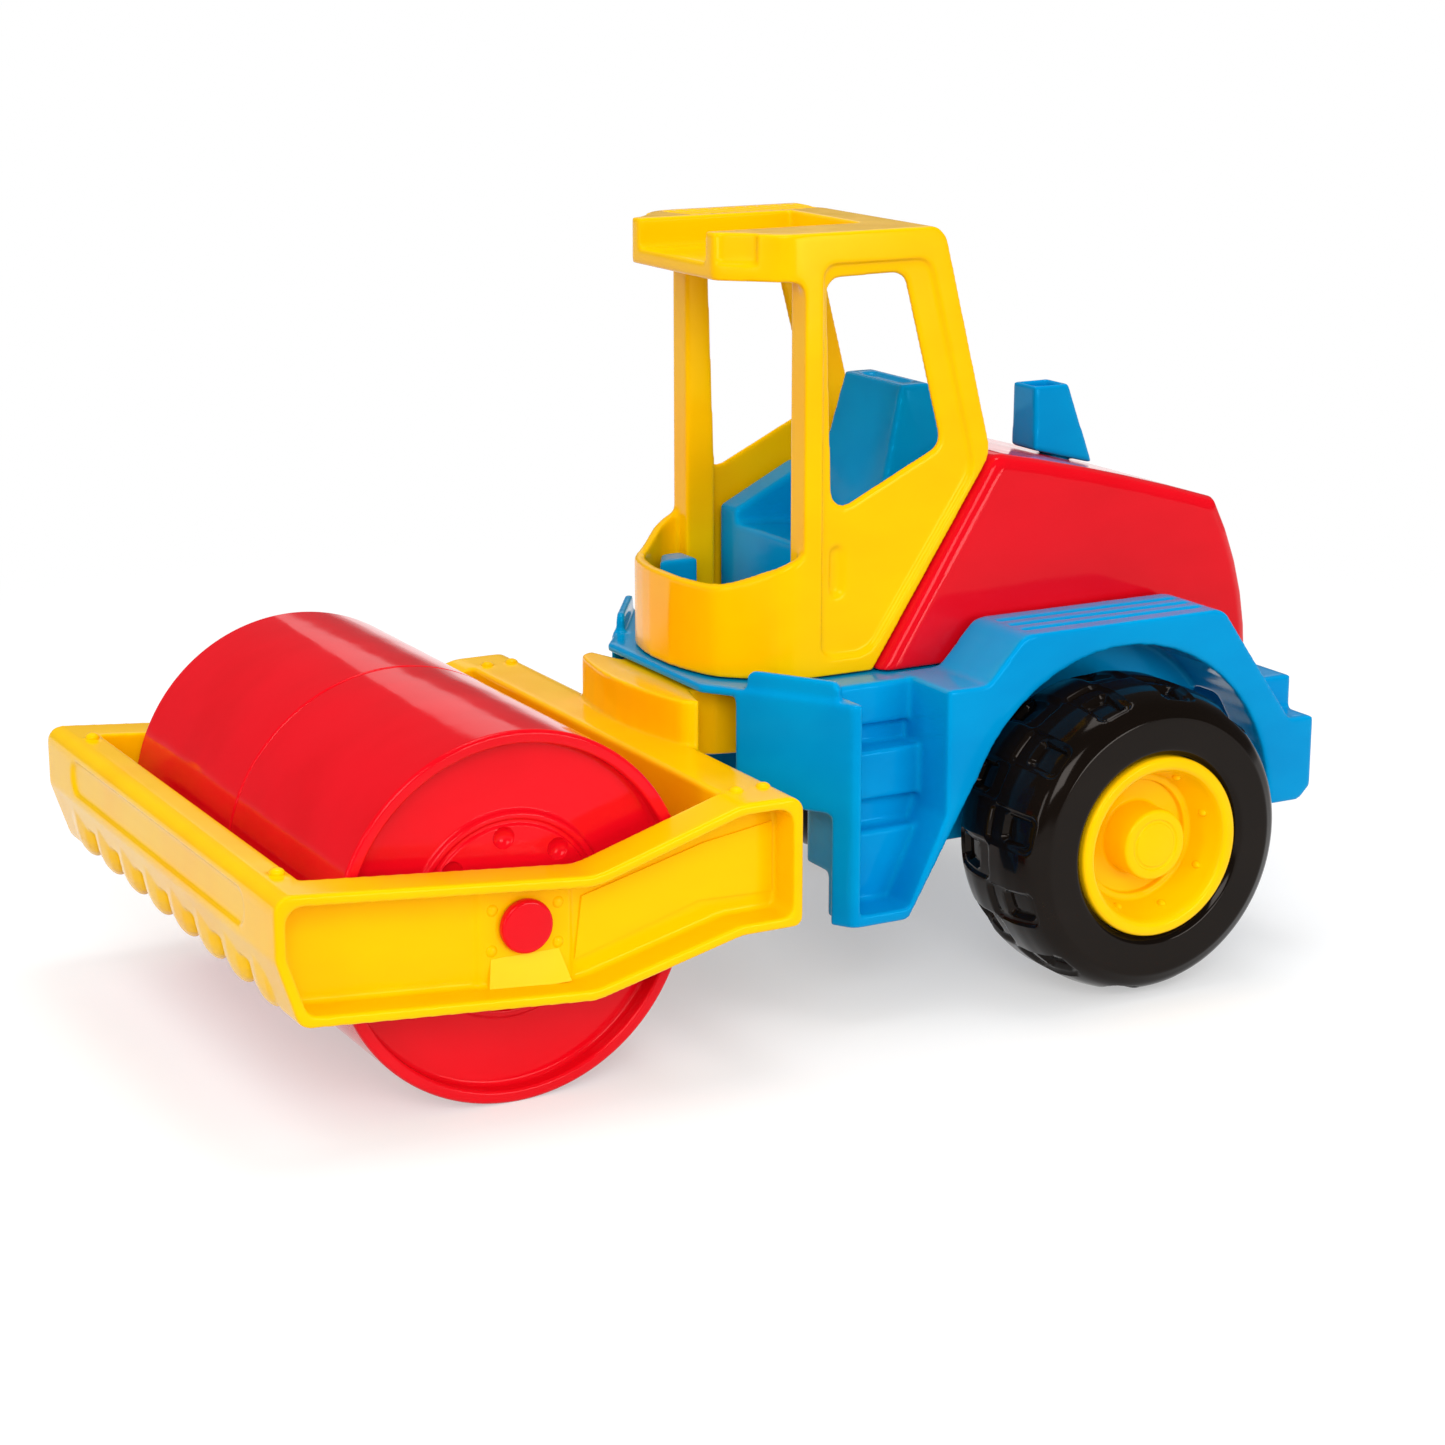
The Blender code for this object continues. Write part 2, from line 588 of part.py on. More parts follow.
def front_frame(finish, carrier):
    side = side_beam_outline()
    frame = slab(rounded(side, FRAME_FILLETS), "X", -FRAME_HALF, FRAME_HALF)
    channel = slab(rounded(inset(side, WALL), FRAME_FILLETS), "X", WEB_OUTER, FRAME_HALF + WALL)
    cut(frame, slab(between_webs_outline(), "X", -WEB_INNER, WEB_INNER), both_sides(channel))

    # Raised pad, from rim to rim of the channel, and the bore for the drum pin
    pad_low, pad_high = FRAME_LOW_DIP + WALL / 2, FRAME_TOP_DIP - WALL / 2
    add(frame, both_sides(box((WEB_OUTER - FRAME_WEB / 2, DRUM_Y - PAD_HALF, pad_low),
                              (WEB_OUTER + PAD_RAISE, DRUM_Y + PAD_HALF, pad_high))))
    cut(frame, both_sides(rod(PIN_RADIUS + RUN_GAP, (WEB_INNER - WALL, DRUM_Y, DRUM_RADIUS),
                              (FRAME_HALF, DRUM_Y, DRUM_RADIUS))))

    # Scraper teeth and the sunk panel of the front face
    add(frame, scraper_teeth())
    panel_z = (FRAME_TOP_FRONT + FRAME_CHIN_TOP) / 2 - PANEL_DEPTH
    half, tall = PANEL_LENGTH / 2, PANEL_HEIGHT / 2
    stadium = rounded([(-half, panel_z - tall), (half, panel_z - tall), (half, panel_z + tall),
                       (-half, panel_z + tall)], tall)
    cut(frame, slab(stadium, "Y", -FRONT_REACH - PANEL_DEPTH, -FRONT_REACH + PANEL_DEPTH))

    # Pedestal and tongue: a skirted plate with a sleeve around the pivot
    plan = without_doubles(tongue_outline())
    add(frame, slab(plan, "Z", TONGUE_BOTTOM, TONGUE_TOP))
    hollow = TONGUE_RADIUS - WALL
    low = math.asin(max(REAR_BEAM_BACK / hollow, -1.0))
    cut(frame, slab(arc(hollow, low, math.pi - low, 24), "Z", TONGUE_BOTTOM - WALL, TONGUE_TOP - WALL))
    bore = PIVOT_BOSS_RADIUS + RUN_GAP
    add(frame, rod(bore + PIVOT_SLEEVE, (0, 0, TONGUE_BOTTOM), (0, 0, TONGUE_TOP - WALL / 2), 32))
    cut(frame, rod(bore, (0, 0, TONGUE_BOTTOM - WALL), (0, 0, TONGUE_TOP + WALL), 32))

    # Small moulded nubs on the corners of the frame
    front_nub = -FRONT_REACH + FRONT_BEAM_DEPTH / 2 + NUB_RADIUS
    rear_nub = (REAR_BEAM_FRONT + REAR_BEAM_BACK) / 2
    for x, y, z in ((FRAME_HALF - NUB_FRONT_INSET, front_nub, FRAME_TOP_FRONT),
                    (FRAME_HALF - NUB_REAR_INSET, rear_nub - NUB_REAR_SPREAD, FRAME_TOP_REAR),
                    (FRAME_HALF - NUB_REAR_INSET, rear_nub + NUB_REAR_SPREAD, FRAME_TOP_REAR)):
        add(frame, both_sides(dome((x, y, z - NUB_HEIGHT / 3), NUB_RADIUS, NUB_HEIGHT)))
    return part(frame, "front_frame", finish, carrier)


# Drum
def drum_half_profile(spigot):
    end = DRUM_LENGTH / 2
    disc = end - DRUM_DISH
    inside = disc - WALL
    seam = SEAT_GAP / 2
    bore = PIN_RADIUS + SEAT_GAP
    wall_radius = DRUM_RADIUS - DRUM_RIM
    chamfer = DRUM_SEAM_CHAMFER
    profile = [
        (DRUM_RADIUS - chamfer, end),
        (DRUM_RADIUS, end - chamfer),
        (DRUM_RADIUS, seam + chamfer),
        (DRUM_RADIUS - chamfer, seam),
    ]
    if spigot:
        sleeve = wall_radius - SEAT_GAP
        profile += [(sleeve, seam), (sleeve, -DRUM_SPIGOT), (sleeve - WALL, -DRUM_SPIGOT),
                    (sleeve - WALL, DRUM_SPIGOT), (wall_radius, DRUM_SPIGOT + WALL)]
    else:
        profile += [(wall_radius, seam)]
    return profile + [
        (wall_radius, inside),
        (DRUM_BOSS_RADIUS, inside),
        (DRUM_BOSS_RADIUS, inside - DRUM_BOSS_LENGTH),
        (bore, inside - DRUM_BOSS_LENGTH),
        (bore, disc + DRUM_HUB_RAISE),
        (DRUM_HUB_RADIUS, disc + DRUM_HUB_RAISE),
        (DRUM_HUB_RADIUS + DRUM_HUB_RAISE, disc),
        (wall_radius, disc),
        (wall_radius, end),
    ]


def drum_pin_profile():
    seat = WEB_OUTER + PAD_RAISE + SEAT_GAP
    face = seat + BUTTON_THICK
    edge = BUTTON_THICK / 3
    tip = DRUM_LENGTH / 2 - DRUM_DISH - WALL - DRUM_BOSS_LENGTH
    return [(0.0, face), (BUTTON_RADIUS - edge, face), (BUTTON_RADIUS, face - edge),
            (BUTTON_RADIUS, seat), (PIN_RADIUS, seat), (PIN_RADIUS, tip), (0.0, tip)]


def drum(finish, carrier):
    for name, side in (("left", 1), ("right", -1)):
        half = turned(drum_half_profile(side > 0), DRUM_AXIS, side, DRUM_SEGMENTS, closed=True)
        part(half, f"drum_{name}_half", finish, carrier)
        pin = turned(drum_pin_profile(), DRUM_AXIS, side, PIN_SEGMENTS, closed=False)
        part(pin, f"drum_pin_{name}", finish, carrier)


# Chassis
def swept(x):
    """Y of the swept front at a distance x from the middle."""
    return DECK_NOSE_Y + (x - DECK_NOSE_HALF) * SWEEP.y / SWEEP.x


def side_outline():
    """Step frame and fender from the side; the wheel arch is cut later."""
    arch_y = WHEEL_Y + ARCH_BACK
    chord = math.sqrt(ARCH_RADIUS ** 2 - (LEG_SLOPE_TOP - WHEEL_RADIUS) ** 2)
    rear_top = REAR_REACH - FENDER_TOP_REAR_SETBACK
    return [
        (DECK_NOSE_Y, DECK_TOP),
        (DECK_NOSE_Y, LEG_BOTTOM),
        (LEG_FOOT_BACK, LEG_BOTTOM),
        (arch_y - chord, LEG_SLOPE_TOP),
        (arch_y + chord, LEG_SLOPE_TOP),
        (arch_y + ARCH_RADIUS, BUMPER_BOTTOM),
        (REAR_REACH - BUMPER_CHAMFER, BUMPER_BOTTOM),
        (REAR_REACH, BUMPER_BOTTOM + BUMPER_CHAMFER),
        (REAR_REACH, BUMPER_TOP),
        (REAR_REACH - FENDER_FOOT_SETBACK, BUMPER_TOP),
        (rear_top, FENDER_TOP),
        (FENDER_TOP_FRONT, FENDER_TOP),
        (FENDER_SHELF_BACK, DECK_TOP + SEAT_GAP),
        (FENDER_FRONT_Y, DECK_TOP + SEAT_GAP),
        (FENDER_FRONT_Y, DECK_TOP),
    ]


def step_opening():
    """Three boards, each farther out than the one above, with a slot under the first two."""
    front = DECK_SHOULDER_Y + STEP_FRONT_WALL
    foot = LEG_BOTTOM + STEP_BAR
    high = DECK_TOP + WALL
    bend = LEG_SLOPE_TOP - 3 * STEP_BAR
    opening = slab([(front, foot), (LEG_FOOT_BACK, foot), (FENDER_FRONT_Y, bend),
                    (FENDER_FRONT_Y, high), (front, high)], "X", BELLY_HALF / 2, CHASSIS_HALF + WALL)
    outside = CHASSIS_HALF + 2 * WALL
    boards = [(outside, high)]
    top = high
    for board_low, board_x, slot_low, slot_x in STEP_BOARDS:
        boards += [(board_x, top), (board_x, board_low), (slot_x, board_low), (slot_x, slot_low)]
        top = slot_low
    boards += [(STEP_LAST_BOARD, top), (STEP_LAST_BOARD, foot - WALL), (outside, foot - WALL)]
    keep_inside(opening, slab(boards, "Y", 0.0, BELLY_HALF))
    return opening


def kerb():
    """The low rounded wall that stands along the swept edge of the deck."""
    length = (KERB_OUTER - KERB_INNER) / SWEEP.x
    tall = KERB_HEIGHT + DECK_PLATE / 2
    face = rounded([(0.0, 0.0), (length, 0.0), (length, tall), (0.0, tall)],
                   [0.0, 0.0, KERB_HEIGHT / 2, KERB_HEIGHT / 2])
    made = slab(face, "Z", 0.0, KERB_THICK)
    along = Vector((SWEEP.x, SWEEP.y, 0.0))
    up = Vector((0.0, 0.0, 1.0))
    inward = Vector((-SWEEP.y, SWEEP.x, 0.0))
    start = Vector((KERB_INNER, swept(KERB_INNER), DECK_TOP - DECK_PLATE / 2)) + inward * KERB_SETBACK
    turn = Matrix((along, up, -inward)).transposed().to_4x4()
    made.data.transform(Matrix.Translation(start + inward * KERB_THICK) @ turn)
    return made


def chassis(finish, carrier):
    back_of_deck = REAR_REACH - TAIL_FRONT_SETBACK
    belly = BELLY_HALF - WALL
    wall_step = WALL / SWEEP.x
    deck = mirrored([(DECK_NOSE_HALF, DECK_NOSE_Y), (CHASSIS_HALF - WALL, DECK_SHOULDER_Y),
                     (CHASSIS_HALF - WALL, FENDER_FRONT_Y), (BELLY_HALF - SEAT_GAP, FENDER_FRONT_Y),
                     (BELLY_HALF - SEAT_GAP, back_of_deck)])
    body = slab(deck, "Z", DECK_BOTTOM, DECK_TOP)
    add(body, rod(PIVOT_BOSS_RADIUS, (0, 0, TONGUE_BOTTOM - RUN_GAP), (0, 0, DECK_TOP - DECK_PLATE / 2), 32))
    front_plane = [(FRONT_GATE_HALF, swept(FRONT_GATE_HALF)), (CHASSIS_HALF, DECK_SHOULDER_Y),
                   (CHASSIS_HALF, REAR_REACH + WALL), (FENDER_INNER, REAR_REACH + WALL),
                   (FENDER_INNER, swept(FENDER_INNER) + wall_step),
                   (FRONT_GATE_HALF, swept(FRONT_GATE_HALF) + wall_step)]
    side = slab(rounded(side_outline(), SIDE_FILLETS), "X", FRONT_GATE_HALF - WALL, CHASSIS_HALF + WALL)
    fillets = [0.0, LEG_FILLET, 0.0, 0.0, 0.0, 0.0]
    keep_inside(side, slab(rounded(front_plane, fillets), "Z", 0.0, FENDER_TOP + WALL))
    cut(side, box((0.0, -FRONT_REACH, 0.0), (CHASSIS_HALF - LEG_WIDTH, FENDER_FRONT_Y, BELLY_BOTTOM)))
    cut(side, box((0.0, -FRONT_REACH, 0.0), (CHASSIS_HALF - LEG_FRONT_WIDTH, DECK_SHOULDER_Y, PANEL_LOW)))
    add(body, both_sides(side))

    # Belly behind the bulkhead, tail block and the middle of the bumper
    add(body,
        box((-BELLY_HALF, BULKHEAD_Y, BELLY_BOTTOM), (BELLY_HALF, back_of_deck + WALL, DECK_TOP - SEAT_GAP)),
        box((-TAIL_HALF, back_of_deck, BUMPER_BOTTOM), (TAIL_HALF, REAR_REACH - SEAT_GAP, TAIL_TOP)))
    cut(body,
        box((-belly, BULKHEAD_Y + WALL, 0.0), (belly, back_of_deck, DECK_BOTTOM)),
        box((-TAIL_HALF + WALL, back_of_deck - WALL, 0.0),
            (TAIL_HALF - WALL, REAR_REACH - WALL, TAIL_TOP - WALL)))

    # Wheel arches, bearings, steps, grooves and kerbs
    arch = rod(ARCH_RADIUS, (BELLY_HALF - SEAT_GAP, WHEEL_Y + ARCH_BACK, WHEEL_RADIUS),
               (CHASSIS_HALF + WALL, WHEEL_Y + ARCH_BACK, WHEEL_RADIUS), 48)
    bearing = rod(BEARING_RADIUS, (belly + WALL / 2, WHEEL_Y, WHEEL_RADIUS),
                  (TYRE_INNER - BEARING_GAP, WHEEL_Y, WHEEL_RADIUS), 24)
    cut(body, both_sides(arch))
    add(body, both_sides(bearing))
    cut(body, rod(AXLE_RADIUS + RUN_GAP, (-CHASSIS_HALF, WHEEL_Y, WHEEL_RADIUS),
                  (CHASSIS_HALF, WHEEL_Y, WHEEL_RADIUS)))
    cut(body, both_sides(step_opening()))
    middle = (FENDER_INNER + CHASSIS_HALF) / 2
    for k in range(GROOVES):
        x = middle + (k - (GROOVES - 1) / 2) * GROOVE_PITCH
        groove = box((x - GROOVE_WIDTH / 2, FENDER_TOP_FRONT + WALL, FENDER_TOP - GROOVE_DEPTH),
                     (x + GROOVE_WIDTH / 2, REAR_REACH - FENDER_TOP_REAR_SETBACK - WALL, FENDER_TOP + WALL))
        cut(body, both_sides(groove))
    add(body, both_sides(kerb()))

    # Screw holes in the pivot boss and the deck
    hole = SCREW_RADIUS + SEAT_GAP
    cut(body, rod(hole, (0, 0, 0), (0, 0, TONGUE_BOTTOM + SCREW_BITE + SEAT_GAP)))
    for x, y in (SEAT_SCREW, hood_screw_place()):
        cut(body, both_sides(rod(hole, (x, y, DECK_BOTTOM - WALL), (x, y, DECK_TOP + WALL))))
    return part(body, "chassis", finish, carrier)


def hood_screw_place():
    return HOOD_REAR_HALF - HOOD_BOSS_RADIUS, HOOD_SCREW_Y


# Cab
def cab_plan(depth, bow):
    """The cab from above, inset by a depth, with its nose bowed forward."""
    nose = bowed((-CAB_NOSE_HALF, CAB_NOSE_Y), (CAB_NOSE_HALF, CAB_NOSE_Y), -bow, 8 if bow else 1)
    half = [p for p in nose if p[0] > CAB_LIP] + [(CAB_HALF, CAB_SHOULDER_Y), (CAB_HALF, REAR_REACH)]
    corners = [0.0] * (len(half) - 3) + [CAB_NOSE_FILLET, CAB_CORNER * 2, 0.0]
    return rounded(inset(mirrored(half), depth), corners + corners[::-1])


def cab_profile(top):
    return [(-FRONT_REACH, CAB_BOTTOM), (CAB_FOOT_BACK, CAB_BOTTOM), CAB_WAIST, CAB_REAR_TOP,
            (CAB_REAR_TOP[0] - CAB_CORNER / 2, top), (-FRONT_REACH, top)]


def cab(finish, carrier):
    ceiling = ROOF_TOP - ROOF_DEPTH
    body = slab(cab_plan(0.0, CAB_NOSE_BOW), "Z", CAB_BOTTOM, ROOF_TOP)
    cut(body, box((-CAB_HALF, -FRONT_REACH, ceiling - WALL), (CAB_HALF, CAB_NOSE_Y, ROOF_TOP + WALL)))
    keep_inside(body, slab(rounded(cab_profile(ROOF_TOP), CAB_FILLETS), "X", -FRAME_HALF, FRAME_HALF))
    cut(body,
        slab(cab_plan(WALL, CAB_NOSE_BOW), "Z", CAB_BOTTOM + WALL, ceiling),
        slab(cab_plan(WALL + SEAT_GAP, 0.0), "Z", ceiling - WALL, ROOF_TOP - ROOF_TRAY_DEPTH - WALL),
        slab(cab_plan(WALL + CAB_LIP, CAB_NOSE_BOW), "Z", 0.0, CAB_BOTTOM + 2 * WALL))
    add(body, both_sides(box((CAB_HALF - PILLAR_DEPTH, PILLAR_FRONT, CAB_BOTTOM),
                             (CAB_HALF - WALL / 2, PILLAR_BACK, ceiling + WALL / 2))))

    # Open front above the sill, side windows and the tray in the roof
    sill = [(-FRONT_REACH, SILL_FRONT), (CAB_NOSE_Y + WALL, SILL_FRONT),
            (PILLAR_FRONT, SILL_SIDE), (PILLAR_FRONT, ceiling), (-FRONT_REACH, ceiling)]
    cut(body,
        slab(rounded(sill, SILL_FILLETS), "X", -FRAME_HALF, FRAME_HALF),
        slab(rounded(WINDOW, WINDOW_FILLET), "X", -FRAME_HALF, FRAME_HALF),
        box((-ROOF_TRAY_HALF, -FRONT_REACH, ROOF_TOP - ROOF_TRAY_DEPTH),
            (ROOF_TRAY_HALF, ROOF_TRAY_BACK, ROOF_TOP + WALL)))
    return part(body, "cab", finish, carrier)


# Seat moulding
def cab_back(z):
    """Y of the cab's slanting rear edge below the waist; the hood's front wall follows it."""
    (waist_y, waist_z) = CAB_WAIST
    return CAB_FOOT_BACK + (z - CAB_BOTTOM) * (waist_y - CAB_FOOT_BACK) / (waist_z - CAB_BOTTOM)


def seat_moulding(finish, carrier):
    floor = CAB_BOTTOM + WALL + SEAT_GAP
    gap = 2 * RUN_GAP
    body = slab([(SEAT_FRONT, floor), (cab_back(floor) - gap, floor),
                 (cab_back(ARM_REAR[1]) - gap, ARM_REAR[1]), ARM_REAR,
                 (SEAT_FRONT, ARM_FRONT_TOP)], "X", -SEAT_HALF, SEAT_HALF)
    cushion_back = cab_back(SEAT_CUSHION) - gap
    cut(body, slab([(SEAT_FRONT - WALL, SEAT_CUSHION), (cushion_back + WALL, SEAT_CUSHION - WALL),
                    (cushion_back + SEAT_HALF, ROOF_TOP), (SEAT_FRONT - WALL, ROOF_TOP)],
                   "X", -SEAT_CUSHION_HALF, SEAT_CUSHION_HALF))
    foot = SEAT_CUSHION - 2 * WALL
    rear_gap = gap + SEAT_GAP
    backrest = slab([(BACKREST_FRONT_LOW, foot), (cab_back(foot) - rear_gap, foot),
                     (cab_back(BACKREST_WAIST) - rear_gap, BACKREST_WAIST),
                     (BACKREST_BACK_TOP, BACKREST_TOP), (BACKREST_FRONT_TOP, BACKREST_TOP)],
                    "X", -SEAT_HALF, SEAT_HALF)
    taper = mirrored([(BACKREST_HALF_LOW, foot - WALL), (BACKREST_HALF_TOP, BACKREST_TOP + WALL)])
    keep_inside(backrest, slab(taper, "Y", 0.0, REAR_REACH))
    add(body, backrest)

    # Hollow under the cushion, with a boss for each screw
    ceiling = foot - WALL / 2
    inner_back = gap + 1.5 * WALL
    cut(body, slab([(SEAT_FRONT + WALL, floor - WALL), (cab_back(floor) - inner_back, floor - WALL),
                    (cab_back(ceiling) - inner_back, ceiling), (SEAT_FRONT + WALL, ceiling)],
                   "X", -SEAT_HALF + WALL, SEAT_HALF - WALL))
    x, y = SEAT_SCREW
    add(body, both_sides(rod(SEAT_BOSS_RADIUS, (x, y, floor), (x, y, DECK_TOP + SCREW_BITE + WALL))))

    # Floor of the cab and the two blocks in its front corners
    plan = mirrored([(CONSOLE_INNER, swept_inside(CONSOLE_INNER)),
                     (CONSOLE_OUTER, swept_inside(CONSOLE_OUTER)), (CONSOLE_OUTER, SEAT_FRONT + WALL / 2)])
    block = [(CONSOLE_INNER, swept_inside(CONSOLE_INNER)), (CONSOLE_OUTER, swept_inside(CONSOLE_OUTER)),
             (CONSOLE_OUTER, CONSOLE_BACK), (CONSOLE_INNER, CONSOLE_BACK)]
    add(body, slab(plan, "Z", floor, floor + WALL),
        both_sides(slab(block, "Z", floor + WALL / 2, CONSOLE_TOP)))
    hole_top = DECK_TOP + SCREW_BITE + SEAT_GAP
    cut(body, both_sides(rod(SCREW_RADIUS + SEAT_GAP, (x, y, 0.0), (x, y, hole_top))))
    return part(body, "seat_moulding", finish, carrier)


def swept_inside(x):
    """Y of the inner face of the cab's slanting front corner, plus the clearance to it."""
    slope = (CAB_SHOULDER_Y - CAB_NOSE_Y) / (CAB_HALF - CAB_NOSE_HALF)
    return CAB_NOSE_Y + max(x - CAB_NOSE_HALF, 0.0) * slope + 2 * WALL


# Hood and exhaust
def hood_profile():
    """The hood from the side, run on below its foot, which is cut to the deck later."""
    low = TAIL_TOP - 4 * HOOD_BEVEL
    waist = (CAB_WAIST[0] + 2 * SEAT_GAP, CAB_WAIST[1])
    rear_top = (REAR_REACH - HOOD_TOP_REAR_SETBACK, HOOD_TOP_REAR)
    rear_foot = (REAR_REACH - SEAT_GAP, TAIL_TOP + SEAT_GAP)
    return ([(rear_foot[0], low), (cab_back(low) + 2 * SEAT_GAP, low)]
            + bowed(waist, rear_top, HOOD_TOP_BOW) + bowed(rear_top, rear_foot, HOOD_REAR_BOW)[1:])


def hood_plan():
    """The hood from above, narrower toward the rear and open-ended."""
    taper = (HOOD_HALF - HOOD_REAR_HALF) / (REAR_REACH - CAB_FOOT_BACK)
    front, back = DECK_NOSE_Y, REAR_REACH + HOOD_HALF
    return mirrored([(HOOD_HALF + taper * (CAB_FOOT_BACK - y), y) for y in (front, back)])


def hood(finish, carrier):
    profile, plan = hood_profile(), hood_plan()
    body = slab(profile, "X", -FRAME_HALF, FRAME_HALF)
    keep_inside(body, slab(plan, "Z", 0.0, ROOF_TOP))
    bevel = body.modifiers.new("Bevel", "BEVEL")
    bevel.width = HOOD_BEVEL
    bevel.segments = 2
    bevel.limit_method = "ANGLE"
    bevel.angle_limit = math.radians(60)
    hollow = slab(inset(profile, WALL), "X", -FRAME_HALF, FRAME_HALF)
    keep_inside(hollow, slab(inset(plan, WALL), "Z", 0.0, ROOF_TOP))
    step = REAR_REACH - TAIL_FRONT_SETBACK + WALL + SEAT_GAP
    below = [(DECK_NOSE_Y, 0.0), (REAR_REACH + WALL, 0.0), (REAR_REACH + WALL, TAIL_TOP + SEAT_GAP),
             (step, TAIL_TOP + SEAT_GAP), (step, CAB_BOTTOM), (DECK_NOSE_Y, CAB_BOTTOM)]
    cut(body, hollow, slab(below, "X", -FRAME_HALF, FRAME_HALF))

    # Screw bosses on the side walls and the hole for the exhaust's stem
    x, y = hood_screw_place()
    add(body, both_sides(rod(HOOD_BOSS_RADIUS, (x, y, CAB_BOTTOM), (x, y, CAB_BOTTOM + HOOD_BOSS_LENGTH))))
    hole_top = DECK_TOP + SCREW_BITE + SEAT_GAP
    cut(body, both_sides(rod(SCREW_RADIUS + SEAT_GAP, (x, y, 0.0), (x, y, hole_top))))
    stem_y = EXHAUST_FRONT + EXHAUST_FOOT_LENGTH / 2
    cut(body, rod(EXHAUST_STEM_RADIUS + SEAT_GAP, (0, stem_y, DECK_TOP), (0, stem_y, ROOF_TOP)))
    return part(body, "hood", finish, carrier)


def hood_top(y):
    (y0, z0), (y1, z1) = (CAB_WAIST[0], CAB_WAIST[1]), (REAR_REACH - HOOD_TOP_REAR_SETBACK, HOOD_TOP_REAR)
    t = (y - y0) / (y1 - y0)
    return z0 + (z1 - z0) * t + HOOD_TOP_BOW * 4 * t * (1 - t)


def exhaust(finish, carrier):
    foot_back = EXHAUST_FRONT + EXHAUST_FOOT_LENGTH
    top_back = EXHAUST_FRONT + EXHAUST_TOP_LENGTH
    low = hood_top(foot_back) - WALL
    body = frustum((EXHAUST_HALF * 1.15, EXHAUST_FRONT, foot_back, low),
                   (EXHAUST_HALF, EXHAUST_FRONT, top_back, EXHAUST_TOP))
    seat = [(EXHAUST_FRONT - WALL, hood_top(EXHAUST_FRONT - WALL) + 2 * SEAT_GAP),
            (foot_back + WALL, hood_top(foot_back + WALL) + 2 * SEAT_GAP),
            (foot_back + WALL, 0.0), (EXHAUST_FRONT - WALL, 0.0)]
    cut(body, slab(seat, "X", -HOOD_HALF, HOOD_HALF))
    cut(body, box((-EXHAUST_HALF + WALL / 2, EXHAUST_FRONT + WALL / 2, EXHAUST_TOP - EXHAUST_RECESS),
                  (EXHAUST_HALF - WALL / 2, top_back - WALL / 2, EXHAUST_TOP + WALL)))
    stem_y = EXHAUST_FRONT + EXHAUST_FOOT_LENGTH / 2
    top = hood_top(stem_y)
    add(body, rod(EXHAUST_STEM_RADIUS, (0, stem_y, top - EXHAUST_STEM), (0, stem_y, top + WALL)))
    return part(body, "exhaust_stack", finish, carrier)


# Rear wheels
def tyre_profile():
    bore = HUB_RADIUS + SEAT_GAP
    width, shell = TYRE_WIDTH, TYRE_SHELL
    shoulder = WHEEL_RADIUS - TYRE_SHOULDER_DROP
    round_in = TYRE_SHOULDER_WIDTH
    swell = TYRE_SIDEWALL + 0.6 * (shoulder - TYRE_SIDEWALL)
    return [
        (bore, width - shell / 2), (bore + shell / 2, width), (TYRE_SIDEWALL, width),
        (swell, width - 0.3 * round_in), (shoulder, width - round_in),
        (WHEEL_RADIUS, width / 2 + TYRE_CROWN_HALF), (WHEEL_RADIUS, width / 2 - TYRE_CROWN_HALF),
        (shoulder, round_in), (swell, 0.3 * round_in),
        (TYRE_SIDEWALL, 0.0), (TYRE_SIDEWALL - shell, 0.0),
        (TYRE_SIDEWALL - shell, round_in), (shoulder - 2 * shell, 2 * round_in),
        (shoulder - 2 * shell, width - 1.5 * round_in), (TYRE_SIDEWALL - shell, width - shell),
        (bore + shell, width - shell), (bore + shell, width - TYRE_SLEEVE), (bore, width - TYRE_SLEEVE),
    ]


def lug_pockets(side):
    """Two rows of pockets in the tread, one from each shoulder, half a step apart."""
    bm = bmesh.new()
    for row in (0, 1):
        for k in range(LUGS):
            low = TYRE_WIDTH - LUG_LENGTH if row else -WALL
            along = low + (LUG_LENGTH + WALL) / 2
            turn = Matrix.Rotation(side * 2 * math.pi * (k + row / 2 + LUG_PHASE) / LUGS, 4, "Z")
            place = turn @ Matrix.Translation((WHEEL_RADIUS, 0.0, along))
            size = Matrix.Diagonal((2 * LUG_DEPTH, LUG_WIDTH, LUG_LENGTH + WALL, 1.0))
            bmesh.ops.create_cube(bm, size=1.0, matrix=place @ size)
    made = shape_from(bm)
    made.matrix_world = wheel_place(side)
    return made


def wheel_place(side):
    origin = WHEEL_AXIS + Vector((side * TYRE_INNER, 0.0, 0.0))
    return Matrix.Translation(origin) @ Matrix.Rotation(side * math.pi / 2, 4, "Y")


def hub_profile():
    face = TYRE_WIDTH + HUB_PROUD
    floor = face - HUB_DISH
    edge = WALL / 4
    bore = AXLE_RADIUS + SEAT_GAP
    return [
        (0.0, BOSS_FACE), (HUB_BOSS_RADIUS - edge, BOSS_FACE), (HUB_BOSS_RADIUS, BOSS_FACE - edge),
        (HUB_BOSS_RADIUS, floor), (HUB_STEP_RADIUS, floor), (HUB_STEP_RADIUS, floor + HUB_STEP),
        (HUB_STEP_RADIUS + HUB_STEP, floor + HUB_STEP), (HUB_LIP - edge, face - 2 * edge), (HUB_LIP, face),
        (HUB_RADIUS - edge, face), (HUB_RADIUS, face - edge), (HUB_RADIUS, face - HUB_DEPTH),
        (HUB_RADIUS - WALL, face - HUB_DEPTH), (HUB_RADIUS - WALL, floor - WALL),
        (HUB_STUB_RADIUS, floor - WALL), (HUB_STUB_RADIUS, BEARING_GAP), (bore, BEARING_GAP),
        (bore, BOSS_FACE - AXLE_CAP), (0.0, BOSS_FACE - AXLE_CAP),
    ]


